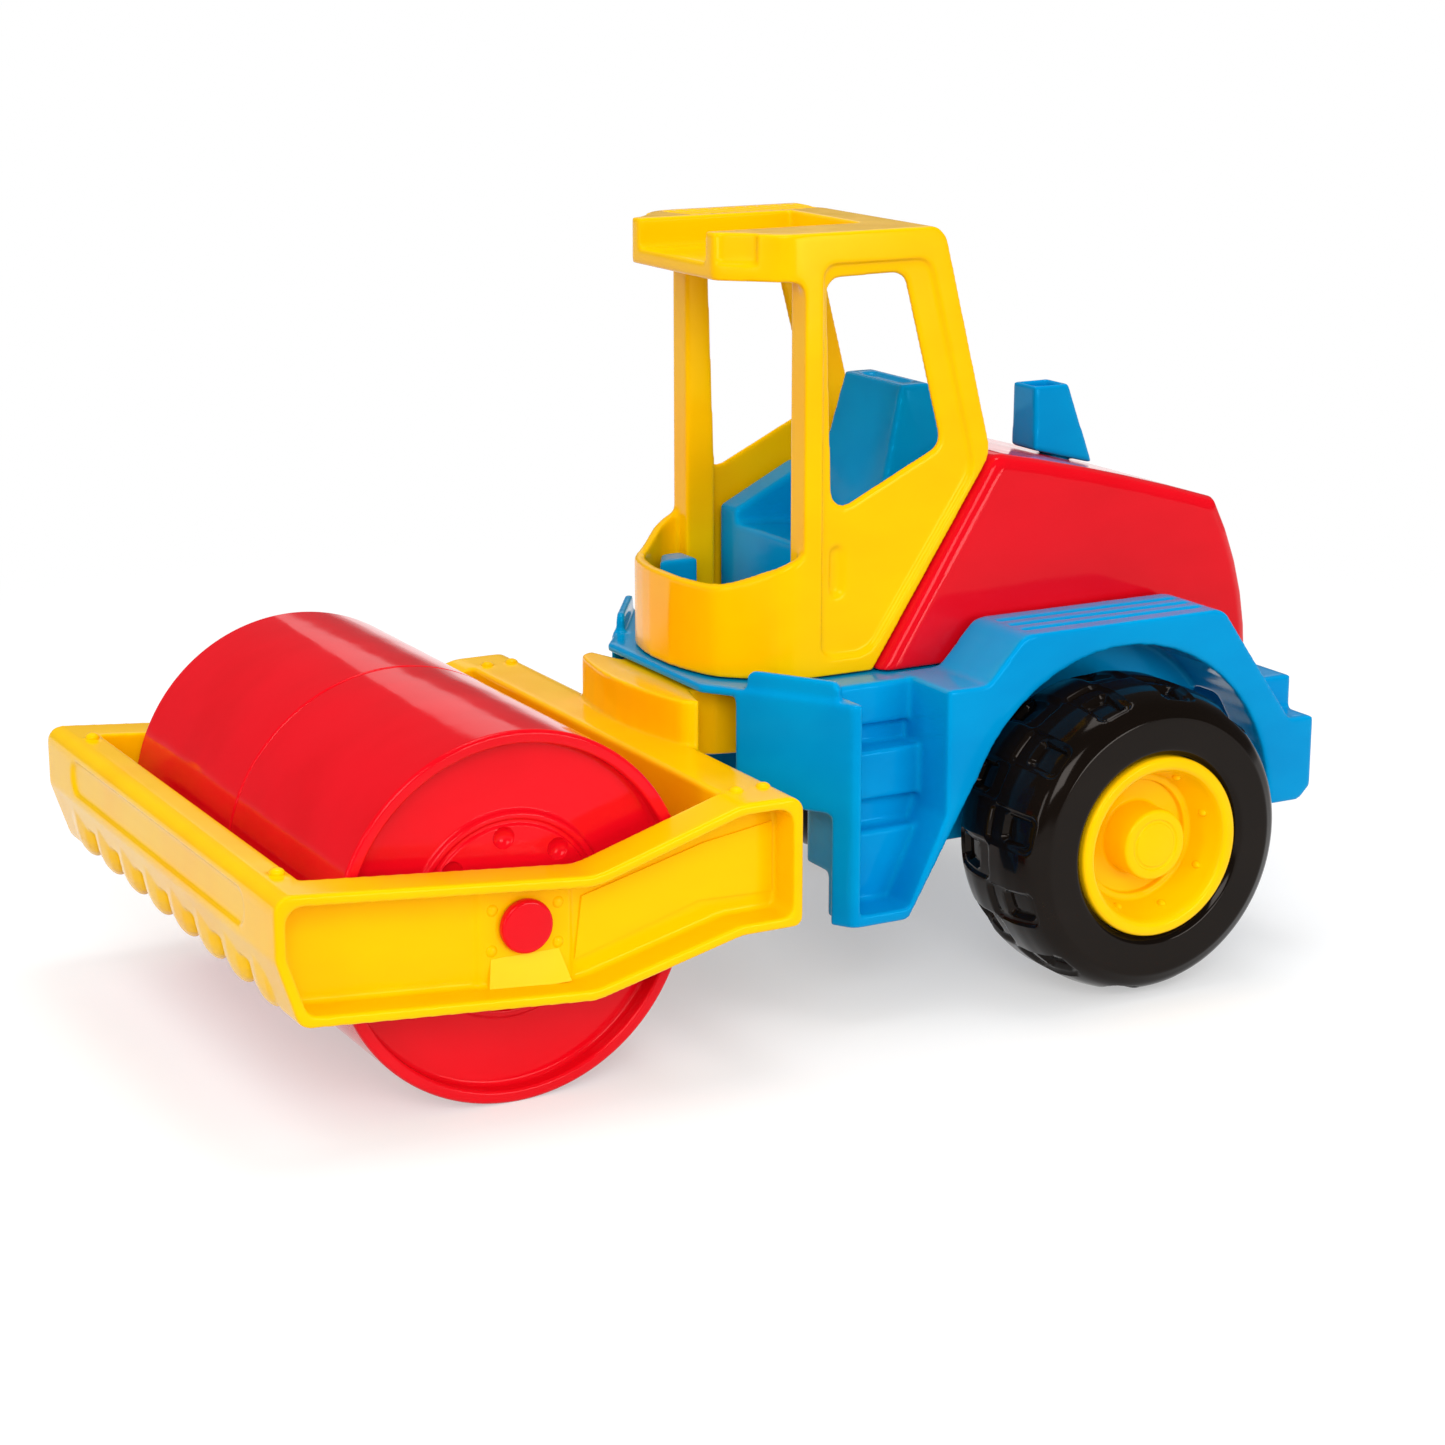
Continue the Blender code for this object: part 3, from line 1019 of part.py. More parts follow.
def wheel_set(tyre_finish, hub_finish, axle_finish, carrier):
    for name, side in (("left", 1), ("right", -1)):
        origin = WHEEL_AXIS + Vector((side * TYRE_INNER, 0.0, 0.0))
        tyre = turned(tyre_profile(), origin, side, WHEEL_SEGMENTS, closed=True)
        cut(tyre, lug_pockets(side))
        part(tyre, f"{name}_tyre", tyre_finish, carrier)
        hub = turned(hub_profile(), origin, side, HUB_SEGMENTS, closed=False)
        part(hub, f"{name}_wheel_hub", hub_finish, carrier)
    axle = rod(AXLE_RADIUS, WHEEL_AXIS - Vector((AXLE_HALF, 0, 0)), WHEEL_AXIS + Vector((AXLE_HALF, 0, 0)))
    part(axle, "rear_axle", axle_finish, carrier)


# Fasteners
def screw(name, place, seat, bite, finish, carrier):
    """A pan-head screw driven upward, its head under z = seat."""
    x, y = place
    body = rod(SCREW_HEAD_RADIUS, (x, y, seat - SCREW_HEAD_THICK), (x, y, seat), 16)
    add(body, rod(SCREW_RADIUS, (x, y, seat - SCREW_HEAD_THICK / 2), (x, y, bite), 12))
    return part(body, name, finish, carrier)


def fasteners(finish, carrier):
    washer_top = TONGUE_BOTTOM - RUN_GAP - SEAT_GAP
    washer = rod(WASHER_RADIUS, (0, 0, washer_top - WASHER_THICK), (0, 0, washer_top), 24)
    cut(washer, rod(SCREW_RADIUS + SEAT_GAP, (0, 0, 0), (0, 0, TONGUE_BOTTOM)))
    part(washer, "pivot_washer", finish, carrier)
    screw("pivot_screw", (0.0, 0.0), washer_top - WASHER_THICK - SEAT_GAP, TONGUE_BOTTOM + SCREW_BITE,
          finish, carrier)
    seat = DECK_BOTTOM - SEAT_GAP
    for name, (x, y) in (("seat", SEAT_SCREW), ("hood", hood_screw_place())):
        for hand, side in (("left", 1), ("right", -1)):
            screw(f"{name}_screw_{hand}", (side * x, y), seat, DECK_TOP + SCREW_BITE, finish, carrier)


def main():
    yellow = material("yellow_plastic", YELLOW, 0.25)
    red = material("red_plastic", RED, 0.22)
    blue = material("blue_plastic", BLUE, 0.25)
    black = material("black_plastic", BLACK, 0.22)
    steel = material("zinc_plated_steel", STEEL, 0.3, 1.0)
    base = axis_empty("rear_unit", (0.0, 0.0, 0.0))
    steering = axis_empty("steering_axis", (0.0, 0.0, TONGUE_BOTTOM))
    drum_axis = axis_empty("drum_axis", DRUM_AXIS)
    wheel_axis = axis_empty("wheel_axis", WHEEL_AXIS)
    front_frame(yellow, steering)
    drum(red, drum_axis)
    chassis(blue, base)
    cab(yellow, base)
    seat_moulding(blue, base)
    hood(red, base)
    exhaust(blue, base)
    wheel_set(black, yellow, steel, wheel_axis)
    fasteners(steel, base)


main()
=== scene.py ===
import math

import bmesh
import bpy
from mathutils import Matrix, Vector


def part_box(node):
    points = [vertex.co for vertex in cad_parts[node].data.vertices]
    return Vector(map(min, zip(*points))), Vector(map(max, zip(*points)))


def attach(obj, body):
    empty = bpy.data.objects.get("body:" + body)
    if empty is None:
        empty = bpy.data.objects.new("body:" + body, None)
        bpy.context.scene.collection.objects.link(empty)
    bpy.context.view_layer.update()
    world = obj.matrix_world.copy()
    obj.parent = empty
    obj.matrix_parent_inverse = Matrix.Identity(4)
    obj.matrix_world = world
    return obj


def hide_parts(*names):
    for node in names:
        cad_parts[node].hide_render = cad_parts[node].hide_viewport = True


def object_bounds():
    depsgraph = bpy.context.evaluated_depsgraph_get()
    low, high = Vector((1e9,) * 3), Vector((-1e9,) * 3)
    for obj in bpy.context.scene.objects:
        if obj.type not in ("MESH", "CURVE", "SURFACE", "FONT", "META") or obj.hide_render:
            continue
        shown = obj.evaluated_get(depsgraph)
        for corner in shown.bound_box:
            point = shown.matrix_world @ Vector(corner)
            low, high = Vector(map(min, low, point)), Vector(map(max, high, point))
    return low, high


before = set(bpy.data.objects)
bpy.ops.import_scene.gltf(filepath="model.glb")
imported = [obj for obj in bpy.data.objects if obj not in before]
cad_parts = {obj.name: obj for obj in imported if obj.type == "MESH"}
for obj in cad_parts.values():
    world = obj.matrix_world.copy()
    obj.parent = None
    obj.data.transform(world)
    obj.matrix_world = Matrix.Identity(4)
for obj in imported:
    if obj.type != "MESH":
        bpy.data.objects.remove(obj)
cad_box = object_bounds()

MM = 0.001
DRUM_AXIS = Vector((0.0, -69.5, 36.0))
WHEEL_AXIS = Vector((0.0, 69.2, 32.25))
TYRE_INNER = 36.0           # inner face of a tyre from the middle
SIDES = (("left", 1), ("right", -1))


# Finishes

def linear(hex_colour):
    """An sRGB hex colour as linear red, green, blue and alpha."""
    channels = [int(hex_colour[i:i + 2], 16) / 255 for i in (0, 2, 4)]
    return [c / 12.92 if c <= 0.04045 else ((c + 0.055) / 1.055) ** 2.4 for c in channels] + [1.0]


def add_node(tree, kind, inputs=None, **settings):
    """One node with its settings; an input takes a value, or an output to link from."""
    made = tree.nodes.new(kind)
    for key, value in settings.items():
        setattr(made, key, value)
    for key, value in (inputs or {}).items():
        if isinstance(value, bpy.types.NodeSocket):
            tree.links.new(value, made.inputs[key])
        else:
            made.inputs[key].default_value = value
    return made


def per_mm(size):
    """Texture scale that gives features of this size in millimetres."""
    return 1.0 / (size * MM)


def moulded_plastic(name, clear, deep, tint, gloss, matt, shine, flow=22.0):
    """Injection-moulded polypropylene with a polished mould finish.

    The eye gets a clean saturated colour with a slow cloud where the melt flowed, a gloss that
    wanders a little from place to place, and reflections that waver over shallow sink marks.
    """
    made = bpy.data.materials.new(name)
    made.use_nodes = True
    tree = made.node_tree
    shader = tree.nodes["Principled BSDF"]
    place = add_node(tree, "ShaderNodeTexCoord").outputs["Object"]

    # Cloud of the melt, drawn out along the toy
    along = add_node(tree, "ShaderNodeMapping", {"Vector": place, "Scale": (1.0, 0.45, 1.0)})
    cloud = add_node(tree, "ShaderNodeTexNoise", {
        "Vector": along.outputs["Vector"], "Scale": per_mm(flow), "Detail": 3.0, "Roughness": 0.55})
    share = add_node(tree, "ShaderNodeMapRange", {
        "Value": cloud.outputs["Fac"], "From Min": 0.35, "From Max": 0.7}, interpolation_type="SMOOTHSTEP")
    colour = add_node(tree, "ShaderNodeMix", {
        "Factor": share.outputs["Result"], "A": linear(clear), "B": linear(deep)}, data_type="RGBA")

    # Gloss: handled patches and faint mould polishing
    patches = add_node(tree, "ShaderNodeTexNoise", {
        "Vector": place, "Scale": per_mm(9.0), "Detail": 4.0, "Roughness": 0.6, "Distortion": 0.4})
    rough = add_node(tree, "ShaderNodeMapRange", {
        "Value": patches.outputs["Fac"], "From Min": 0.3, "From Max": 0.75, "To Min": gloss, "To Max": matt})

    # Sink marks about 16 mm apart, and an orange peel drawn at 1.1 mm so that it shows
    sink = add_node(tree, "ShaderNodeTexNoise", {"Vector": place, "Scale": per_mm(16.0), "Detail": 1.0})
    peel = add_node(tree, "ShaderNodeTexNoise", {"Vector": place, "Scale": per_mm(1.1), "Detail": 2.0})
    slow = add_node(tree, "ShaderNodeBump", {
        "Height": sink.outputs["Fac"], "Strength": 0.35, "Distance": 0.35 * MM})
    fine = add_node(tree, "ShaderNodeBump", {
        "Height": peel.outputs["Fac"], "Strength": 0.08, "Distance": 0.03 * MM,
        "Normal": slow.outputs["Normal"]})
    for socket, value in (("Base Color", colour.outputs["Result"]), ("Roughness", rough.outputs["Result"]),
                          ("Normal", fine.outputs["Normal"])):
        tree.links.new(value, shader.inputs[socket])
    shader.inputs["IOR"].default_value = 1.49
    shader.inputs["Specular IOR Level"].default_value = shine
    shader.inputs["Specular Tint"].default_value = linear(tint)
    return made


def zinc_plate(name):
    """Zinc-plated steel wire and screws: bright grey, with a faint bluish passivation cloud."""
    made = bpy.data.materials.new(name)
    made.use_nodes = True
    tree = made.node_tree
    shader = tree.nodes["Principled BSDF"]
    place = add_node(tree, "ShaderNodeTexCoord").outputs["Object"]
    cloud = add_node(tree, "ShaderNodeTexNoise", {"Vector": place, "Scale": per_mm(2.5), "Detail": 3.0})
    colour = add_node(tree, "ShaderNodeMix", {
        "Factor": cloud.outputs["Fac"], "A": linear("C9CCD0"), "B": linear("AEB4BC")}, data_type="RGBA")
    drawn = add_node(tree, "ShaderNodeMapping", {"Vector": place, "Scale": (0.08, 1.0, 1.0)})
    lines = add_node(tree, "ShaderNodeTexNoise", {
        "Vector": drawn.outputs["Vector"], "Scale": per_mm(0.5), "Detail": 2.0})
    rough = add_node(tree, "ShaderNodeMapRange", {
        "Value": lines.outputs["Fac"], "From Min": 0.3, "From Max": 0.7, "To Min": 0.22, "To Max": 0.38})
    bump = add_node(tree, "ShaderNodeBump", {
        "Height": lines.outputs["Fac"], "Strength": 0.15, "Distance": 0.03 * MM})
    for socket, value in (("Base Color", colour.outputs["Result"]), ("Roughness", rough.outputs["Result"]),
                          ("Normal", bump.outputs["Normal"])):
        tree.links.new(value, shader.inputs[socket])
    shader.inputs["Metallic"].default_value = 1.0
    return made


YELLOW = moulded_plastic("yellow_polypropylene", "FFC800", "FFC000", "FFD060", 0.14, 0.22, shine=0.36)
RED = moulded_plastic("red_polypropylene", "E60A1C", "DE0818", "FFA0A0", 0.07, 0.13, shine=0.40)
BLUE = moulded_plastic("blue_polypropylene", "0098D4", "008ECC", "20C0FF", 0.10, 0.17, shine=0.36)
BLACK = moulded_plastic("black_polypropylene", "0E0906", "140E0A", "FFF4EC", 0.08, 0.14, shine=0.16)
ZINC = zinc_plate("zinc_plated_steel")


# Shapes

def piece_from(bm, name, smooth_angle=None):
    """The mesh, in millimetres, as an object in metres."""
    bmesh.ops.scale(bm, vec=(MM, MM, MM), verts=bm.verts)
    mesh = bpy.data.meshes.new(name)
    bm.to_mesh(mesh)
    bm.free()
    made = bpy.data.objects.new(name, mesh)
    bpy.context.scene.collection.objects.link(made)
    mesh.shade_smooth()
    if smooth_angle is not None:
        mesh.set_sharp_from_angle(angle=math.radians(smooth_angle))
    return made


def prism(bm, outline, axis, low, high):
    """A flat outline drawn out along an axis: (y, z) points along X, (x, z) along Y, (x, y) along Z."""
    order = {"X": (2, 0, 1), "Y": (0, 2, 1), "Z": (0, 1, 2)}[axis]
    verts = []
    for a, b in outline:
        point = (a, b, low)
        verts.append(bm.verts.new([point[i] for i in order]))
    face = bm.faces.new(verts)
    drawn = bmesh.ops.extrude_face_region(bm, geom=[face])["geom"]
    top = [item for item in drawn if isinstance(item, bmesh.types.BMVert)]
    way = Vector((axis == "X", axis == "Y", axis == "Z")) * (high - low)
    bmesh.ops.translate(bm, vec=way, verts=top)
    made = verts + top
    faces = {face for vert in made for face in vert.link_faces}
    bmesh.ops.recalc_face_normals(bm, faces=list(faces))
    return made


def round_corners(bm, verts, axis, radius, segments=5):
    """Rounds the corners of a prism's outline: the edges that run along the axis."""
    along = Vector((axis == "X", axis == "Y", axis == "Z"))
    chosen = set(verts)
    edges = [edge for edge in bm.edges if edge.verts[0] in chosen
             and abs((edge.verts[1].co - edge.verts[0].co).normalized().dot(along)) > 0.999]
    bmesh.ops.bevel(bm, geom=edges, offset=radius, offset_type="OFFSET", affect="EDGES",
                    segments=segments, profile=0.5, material=-1)


def mirror_across(bm):
    """Adds the mirror image on the other side of the toy."""
    geom = bm.verts[:] + bm.edges[:] + bm.faces[:]
    copy = bmesh.ops.duplicate(bm, geom=geom)["geom"]
    verts = [item for item in copy if isinstance(item, bmesh.types.BMVert)]
    bmesh.ops.scale(bm, vec=(-1.0, 1.0, 1.0), verts=verts)
    bmesh.ops.recalc_face_normals(bm, faces=bm.faces)


def dome(bm, centre, radii, matrix=None):
    """A flattened ball, for moulded nubs and dimples."""
    place = Matrix.Translation(centre) @ (matrix or Matrix()) @ Matrix.Diagonal((*radii, 1.0))
    return bmesh.ops.create_uvsphere(bm, u_segments=20, v_segments=12, radius=1.0, matrix=place)["verts"]


def turned(profile, axis, side, steps, closed, longest=None, sectors=12, carve=None):
    """A profile of (radius, along, corner radius) turned about an axis that runs along X.

    One sector is spun, carved if it has a pattern, and repeated around the axis.
    """
    bm = bmesh.new()
    verts = [bm.verts.new((side * along, 0.0, radius)) for radius, along, corner in profile]
    chain = verts + verts[:1] if closed else verts
    for first, second in zip(chain, chain[1:]):
        bm.edges.new((first, second))
    for corner in sorted({corner for radius, along, corner in profile if corner}):
        group = [vert for vert, point in zip(verts, profile) if point[2] == corner]
        bmesh.ops.bevel(bm, geom=group, offset=corner * 0.8, offset_type="OFFSET", affect="VERTICES",
                        segments=4, profile=0.5, material=-1)
    if longest:
        for edge in list(bm.edges):
            cuts = int(edge.calc_length() / longest)
            if cuts:
                bmesh.ops.subdivide_edges(bm, edges=[edge], cuts=cuts)
    turn = 2 * math.pi / sectors
    bmesh.ops.spin(bm, geom=bm.verts[:] + bm.edges[:], cent=(0, 0, 0), axis=(1, 0, 0), dvec=(0, 0, 0),
                   angle=turn, steps=steps // sectors, use_merge=False, use_duplicate=False)
    if carve:
        carve(bm)
    sector = bm.verts[:] + bm.edges[:] + bm.faces[:]
    for k in range(1, sectors):
        copy = bmesh.ops.duplicate(bm, geom=sector)["geom"]
        bmesh.ops.rotate(bm, cent=(0, 0, 0), matrix=Matrix.Rotation(k * turn, 3, "X"),
                         verts=[item for item in copy if isinstance(item, bmesh.types.BMVert)])
    bmesh.ops.remove_doubles(bm, verts=bm.verts, dist=1e-3)
    bmesh.ops.recalc_face_normals(bm, faces=bm.faces)
    bmesh.ops.translate(bm, vec=axis, verts=bm.verts)
    return bm


# Mouldings that keep the CAD shape

def merged_copy(node):
    """A copy of a CAD node's mesh in millimetres, with the corners of its loose triangles welded together."""
    bm = bmesh.new()
    bm.from_mesh(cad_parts[node].data)
    bmesh.ops.scale(bm, vec=(1 / MM, 1 / MM, 1 / MM), verts=bm.verts)
    bmesh.ops.remove_doubles(bm, verts=bm.verts, dist=1e-3)
    return bm


def worked(bm, name, added=None, cut=None):
    """The moulding with small details joined on and cut away."""
    body = piece_from(bm, name)
    helpers = []
    for operation, detail in (("UNION", added), ("DIFFERENCE", cut)):
        if detail is None:
            continue
        helper = piece_from(detail, f"{name}_{operation.lower()}")
        change = body.modifiers.new(operation.title(), "BOOLEAN")
        change.operation = operation
        change.object = helper
        change.solver = "EXACT"
        change.use_self = True
        helpers.append(helper)
    graph = bpy.context.evaluated_depsgraph_get()
    mesh = bpy.data.meshes.new_from_object(body.evaluated_get(graph))
    for item in helpers + [body]:
        bpy.data.objects.remove(item)
    result = bmesh.new()
    result.from_mesh(mesh)
    bpy.data.meshes.remove(mesh)
    bmesh.ops.scale(result, vec=(1 / MM, 1 / MM, 1 / MM), verts=result.verts)
    bmesh.ops.remove_doubles(result, verts=result.verts, dist=2e-3)
    return result


def evaluated(item):
    """The mesh of an object with its modifiers carried out."""
    graph = bpy.context.evaluated_depsgraph_get()
    return bpy.data.meshes.new_from_object(item.evaluated_get(graph))


def moulding(bm, name, grain=0.4, rounds=14, kept=0.2):
    """The worked moulding with every edge rounded, as a mould leaves it.

    A fine even mesh is laid over it and relaxed; then its faces are thinned out where they are
    flat, and the thin mesh keeps the shading of the fine one.
    """
    fine = piece_from(bm, f"{name}_fine")
    even = fine.modifiers.new("Even mesh", "REMESH")
    even.mode = "VOXEL"
    even.voxel_size = grain * MM
    relaxed = fine.modifiers.new("Round edges", "SMOOTH")
    relaxed.factor = 0.5
    relaxed.iterations = rounds
    mesh = evaluated(fine)
    fine.modifiers.clear()
    fine.data = mesh
    mesh.shade_smooth()

    made = bpy.data.objects.new(name, mesh.copy())
    bpy.context.scene.collection.objects.link(made)
    thinned = made.modifiers.new("Fewer faces", "DECIMATE")
    thinned.ratio = kept
    shade = made.modifiers.new("Shading of the fine mesh", "DATA_TRANSFER")
    shade.object = fine
    shade.use_loop_data = True
    shade.data_types_loops = {"CUSTOM_NORMAL"}
    shade.loop_mapping = "POLYINTERP_NEAREST"
    mesh = evaluated(made)
    for vert in mesh.vertices:
        vert.co = [max(low, min(high, value)) for value, low, high in zip(vert.co, *cad_box)]
    made.modifiers.clear()
    made.data = mesh
    bpy.data.objects.remove(fine)
    return made


def finish_piece(piece, body, slot, material, *nodes):
    piece.data.materials.clear()
    piece.data.materials.append(material)
    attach(piece, body)
    if nodes:
        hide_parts(*nodes)


# Drum frame

def drum_frame():
    added = bmesh.new()
    # Wedge under the pin, its face tilted up
    wedge = bmesh.ops.create_cube(added, size=1.0)["verts"]
    for vert in wedge:
        high, back, out = vert.co.z > 0, vert.co.y > 0, vert.co.x > 0
        y = (-62.6 if back else -76.4) if high else (-60.6 if back else -77.4)
        x = (59.0 if high else 60.3) if out else 57.5
        vert.co = (x, y, 30.4 if high else 24.0)
    # Raised panel that runs from the pad to the rear end of the web
    prism(added, [(-59.2, 27.6), (-33.0, 35.0), (-17.2, 34.4), (-17.2, 48.3), (-31.8, 46.2), (-57.6, 39.6)],
          "X", 57.5, 58.75)
    for y, z in ((-75.9, 39.7), (-62.6, 39.3), (-76.2, 31.9), (-62.7, 31.6)):
        dome(added, (58.8, y, z), (0.55, 1.15, 1.15))
    for x, y, z in ((52.6, -114.8, 51.1), (56.6, -23.75, 54.6), (56.6, -17.95, 54.6)):
        dome(added, (x, y, z), (1.5, 1.5, 1.0))
    mirror_across(added)
    details = piece_from(added, "drum_frame_details", 30)
    finish_piece(details, "front_unit", "yellow_plastic", YELLOW)
    piece = moulding(merged_copy("front_frame"), "drum_frame_moulding", grain=0.32, rounds=22, kept=0.1)
    finish_piece(piece, "front_unit", "yellow_plastic", YELLOW, "front_frame")


# Drum

def drum():
    shared = [(33.4, 49.7, 0.8), (7.5, 49.7, 0.6), (7.5, 37.7, 0.3), (4.3, 37.7, 0.2), (4.3, 52.8, 0.3),
              (17.3, 52.8, 0.3), (17.6, 52.3, 0.2), (18.3, 52.3, 0.2), (18.6, 52.8, 0.3), (19.6, 52.8, 0.4),
              (20.2, 51.9, 0.5), (33.4, 51.9, 1.2), (33.4, 55.5, 0.8)]
    sleeve = [(33.1, 0.15, 0), (33.1, -5.0, 0.4), (30.9, -5.0, 0.4), (30.9, 5.0, 0), (33.4, 7.2, 0)]
    outside = [(36.0, 55.5, 1.0), (36.0, 0.15, 0.7)]
    pin = [(0.0, 60.8, 0), (5.2, 60.8, 0.9), (5.2, 59.2, 0.2), (4.0, 59.2, 0), (4.0, 37.7, 0.5), (0.0, 37.7, 0)]
    for name, side in SIDES:
        profile = outside + (sleeve if side > 0 else [(33.4, 0.15, 0)]) + shared
        dimples = bmesh.new()
        for k in range(8):
            angle = math.radians(94 - 45 * k)
            dome(dimples, DRUM_AXIS + Vector((side * 53.2, 15.2 * math.cos(angle), 15.2 * math.sin(angle))),
                 (1.4, 2.3, 2.3))
        bm = worked(turned(profile, DRUM_AXIS, side, 192, closed=True), f"{name}_drum_work", cut=dimples)
        half = piece_from(bm, f"{name}_drum_shell", 40)
        half.modifiers.new("Level faces", "WEIGHTED_NORMAL").keep_sharp = True
        finish_piece(half, "drum", "red_plastic", RED, f"drum_{name}_half")
        button = piece_from(turned(pin, DRUM_AXIS, side, 96, closed=False), f"{name}_drum_button", 40)
        finish_piece(button, "drum", "red_plastic", RED, f"drum_pin_{name}")


# Chassis, cab, seat, hood and exhaust

def chassis():
    piece = moulding(merged_copy("chassis"), "chassis_moulding", grain=0.45, kept=0.15)
    finish_piece(piece, "rear_unit", "blue_plastic", BLUE, "chassis")


def cab():
    cut = bmesh.new()
    # Sunk door with its window inside, and the slot of the handle
    door = prism(cut, [(11.6, 69.9), (23.0, 69.9), (47.6, 105.7), (36.2, 149.2), (11.6, 149.2)], "X", 27.1, 30.0)
    round_corners(cut, door, "X", 3.0)
    handle = prism(cut, [(14.0, 82.4), (17.1, 82.4), (17.1, 92.6), (14.0, 92.6)], "X", 26.2, 30.0)
    round_corners(cut, handle, "X", 1.5)
    # Notch of the lamp in the slanting front corner of the roof
    turn = Matrix.Rotation(math.atan2(11.0, 10.5), 4, "Z")
    bmesh.ops.create_cube(cut, size=1.0, matrix=Matrix.Translation((20.9, -4.2, 153.0)) @ turn
                          @ Matrix.Diagonal((8.0, 2.4, 7.4, 1.0)))
    mirror_across(cut)
    # Fine slanting grooves in the right-hand strip of the roof
    for k in range(12):
        y = 4.0 + 2.8 * k
        prism(cut, [(-25.6, y), (-25.6, y + 1.4), (-16.4, y + 3.8), (-16.4, y + 2.4)], "Z", 154.4, 156.0)
    bm = worked(merged_copy("cab"), "cab_work", cut=cut)
    piece = moulding(bm, "cab_moulding")
    finish_piece(piece, "rear_unit", "yellow_plastic", YELLOW, "cab")


def seat():
    cut = bmesh.new()
    # Shallow sunk panel in the top of the backrest
    recess = prism(cut, [(-8.0, 41.9), (8.0, 41.9), (8.0, 45.1), (-8.0, 45.1)], "Z", 120.3, 123.0)
    round_corners(cut, recess, "Z", 1.2)
    bm = worked(merged_copy("seat_moulding"), "seat_work", cut=cut)
    piece = moulding(bm, "seat_body_moulding", rounds=30)
    finish_piece(piece, "rear_unit", "blue_plastic", BLUE, "seat_moulding")


def hood():
    piece = moulding(merged_copy("hood"), "hood_moulding")
    finish_piece(piece, "rear_unit", "red_plastic", RED, "hood")


def exhaust():
    piece = moulding(merged_copy("exhaust_stack"), "exhaust_moulding", grain=0.3, rounds=40)
    finish_piece(piece, "rear_unit", "blue_plastic", BLUE, "exhaust_stack")


# Rear wheels

def smooth_step(value, low, high):
    t = max(0.0, min(1.0, (value - low) / (high - low)))
    return t * t * (3 - 2 * t)


def pocket_share(across, along, half_across, low, high, corner, wall):
    """1 inside a round-cornered pocket, 0 outside it, with a wall of the given width between."""
    dx = abs(across) - half_across + corner
    dy = abs(along - (low + high) / 2) - (high - low) / 2 + corner
    outside = math.hypot(max(dx, 0.0), max(dy, 0.0)) + min(max(dx, dy), 0.0) - corner
    return 1.0 - smooth_step(outside, -wall / 2, wall / 2)


def tyre(name, side):
    """A hollow tyre with two rows of two-level pockets in its tread, half a step apart."""
    profile = [(19.1, 28.8, 0.4), (20.3, 30.0, 0.5), (27.0, 30.0, 0.4), (29.9, 28.4, 1.6), (31.4, 25.4, 1.8),
               (32.25, 20.6, 1.6), (32.25, 9.4, 1.6), (31.2, 4.6, 1.8), (29.7, 1.5, 1.6), (27.2, 0.0, 0.5),
               (24.6, 0.0, 0.4), (24.6, 4.4, 0), (26.0, 8.8, 0), (26.0, 23.4, 0), (24.6, 27.6, 0),
               (21.5, 27.6, 0.4), (21.5, 22.0, 0.4), (19.1, 22.0, 0.4)]
    profile = [(radius, TYRE_INNER + along, corner) for radius, along, corner in profile]
    step = 2 * math.pi / 12

    def pockets(bm):
        for vert in bm.verts:
            out = Vector((0.0, vert.co.y, vert.co.z))
            if out.length < 28.0:
                continue
            along = abs(vert.co.x) - TYRE_INNER
            angle = math.atan2(out.z, -out.y) - math.radians(11.0)
            depth = 0.0
            for row, (low, high) in ((0, (14.6, 27.6)), (1, (2.4, 15.4))):
                inner, outer = (low + 1.2, high - 4.4) if row else (low + 4.4, high - 1.2)
                across = 32.0 * ((angle + row * step / 2 + step / 2) % step - step / 2)
                depth = max(depth, 0.8 * pocket_share(across, along, 4.0, low, high, 1.6, 0.6)
                            + 1.4 * pocket_share(across, along, 2.8, inner, outer, 1.2, 0.7))
            vert.co -= out.normalized() * depth

    bm = turned(profile, WHEEL_AXIS, side, 444, closed=True, longest=0.55, carve=pockets)
    piece = piece_from(bm, f"{name}_tyre_moulding", 50)
    finish_piece(piece, "wheel_set", "black_plastic", BLACK, f"{name}_tyre")


def wheel_hub(name, side):
    profile = [(0.0, 28.4, 0), (4.5, 28.4, 0.1), (4.7, 28.15, 0.1), (5.2, 28.15, 0.1), (5.4, 28.4, 0.1),
               (7.4, 28.4, 0.9), (7.4, 20.4, 0.8), (12.0, 20.4, 0.4), (12.0, 21.8, 0.5), (13.4, 21.8, 0.6),
               (15.6, 29.0, 0.8), (16.3, 30.2, 0.8), (18.8, 30.2, 1.1), (18.8, 19.7, 0.4), (16.6, 19.7, 0.4),
               (16.6, 18.2, 0.6), (5.5, 18.2, 0.6), (5.5, 0.6, 0.4), (2.8, 0.6, 0.2), (2.8, 25.4, 0), (0.0, 25.4, 0)]
    profile = [(radius, TYRE_INNER + along, corner) for radius, along, corner in profile]
    bm = turned(profile, WHEEL_AXIS, side, 144, closed=False)
    for k in range(8):
        angle = math.radians(28 + 45 * k)
        place = WHEEL_AXIS + Vector((side * 61.4, -14.5 * math.cos(angle), 14.5 * math.sin(angle)))
        dome(bm, place, (1.1, 0.8, 0.8))
    piece = piece_from(bm, f"{name}_hub_moulding", 40)
    finish_piece(piece, "wheel_set", "yellow_plastic", YELLOW, f"{name}_wheel_hub")


def axle():
    profile = [(0.0, -61.1, 0), (2.5, -61.1, 0.6), (2.5, 61.1, 0.6), (0.0, 61.1, 0)]
    piece = piece_from(turned(profile, WHEEL_AXIS, 1, 64, closed=False), "wheel_axle_rod", 40)
    finish_piece(piece, "wheel_set", "zinc_plated_steel", ZINC, "rear_axle")


# Screws and washer

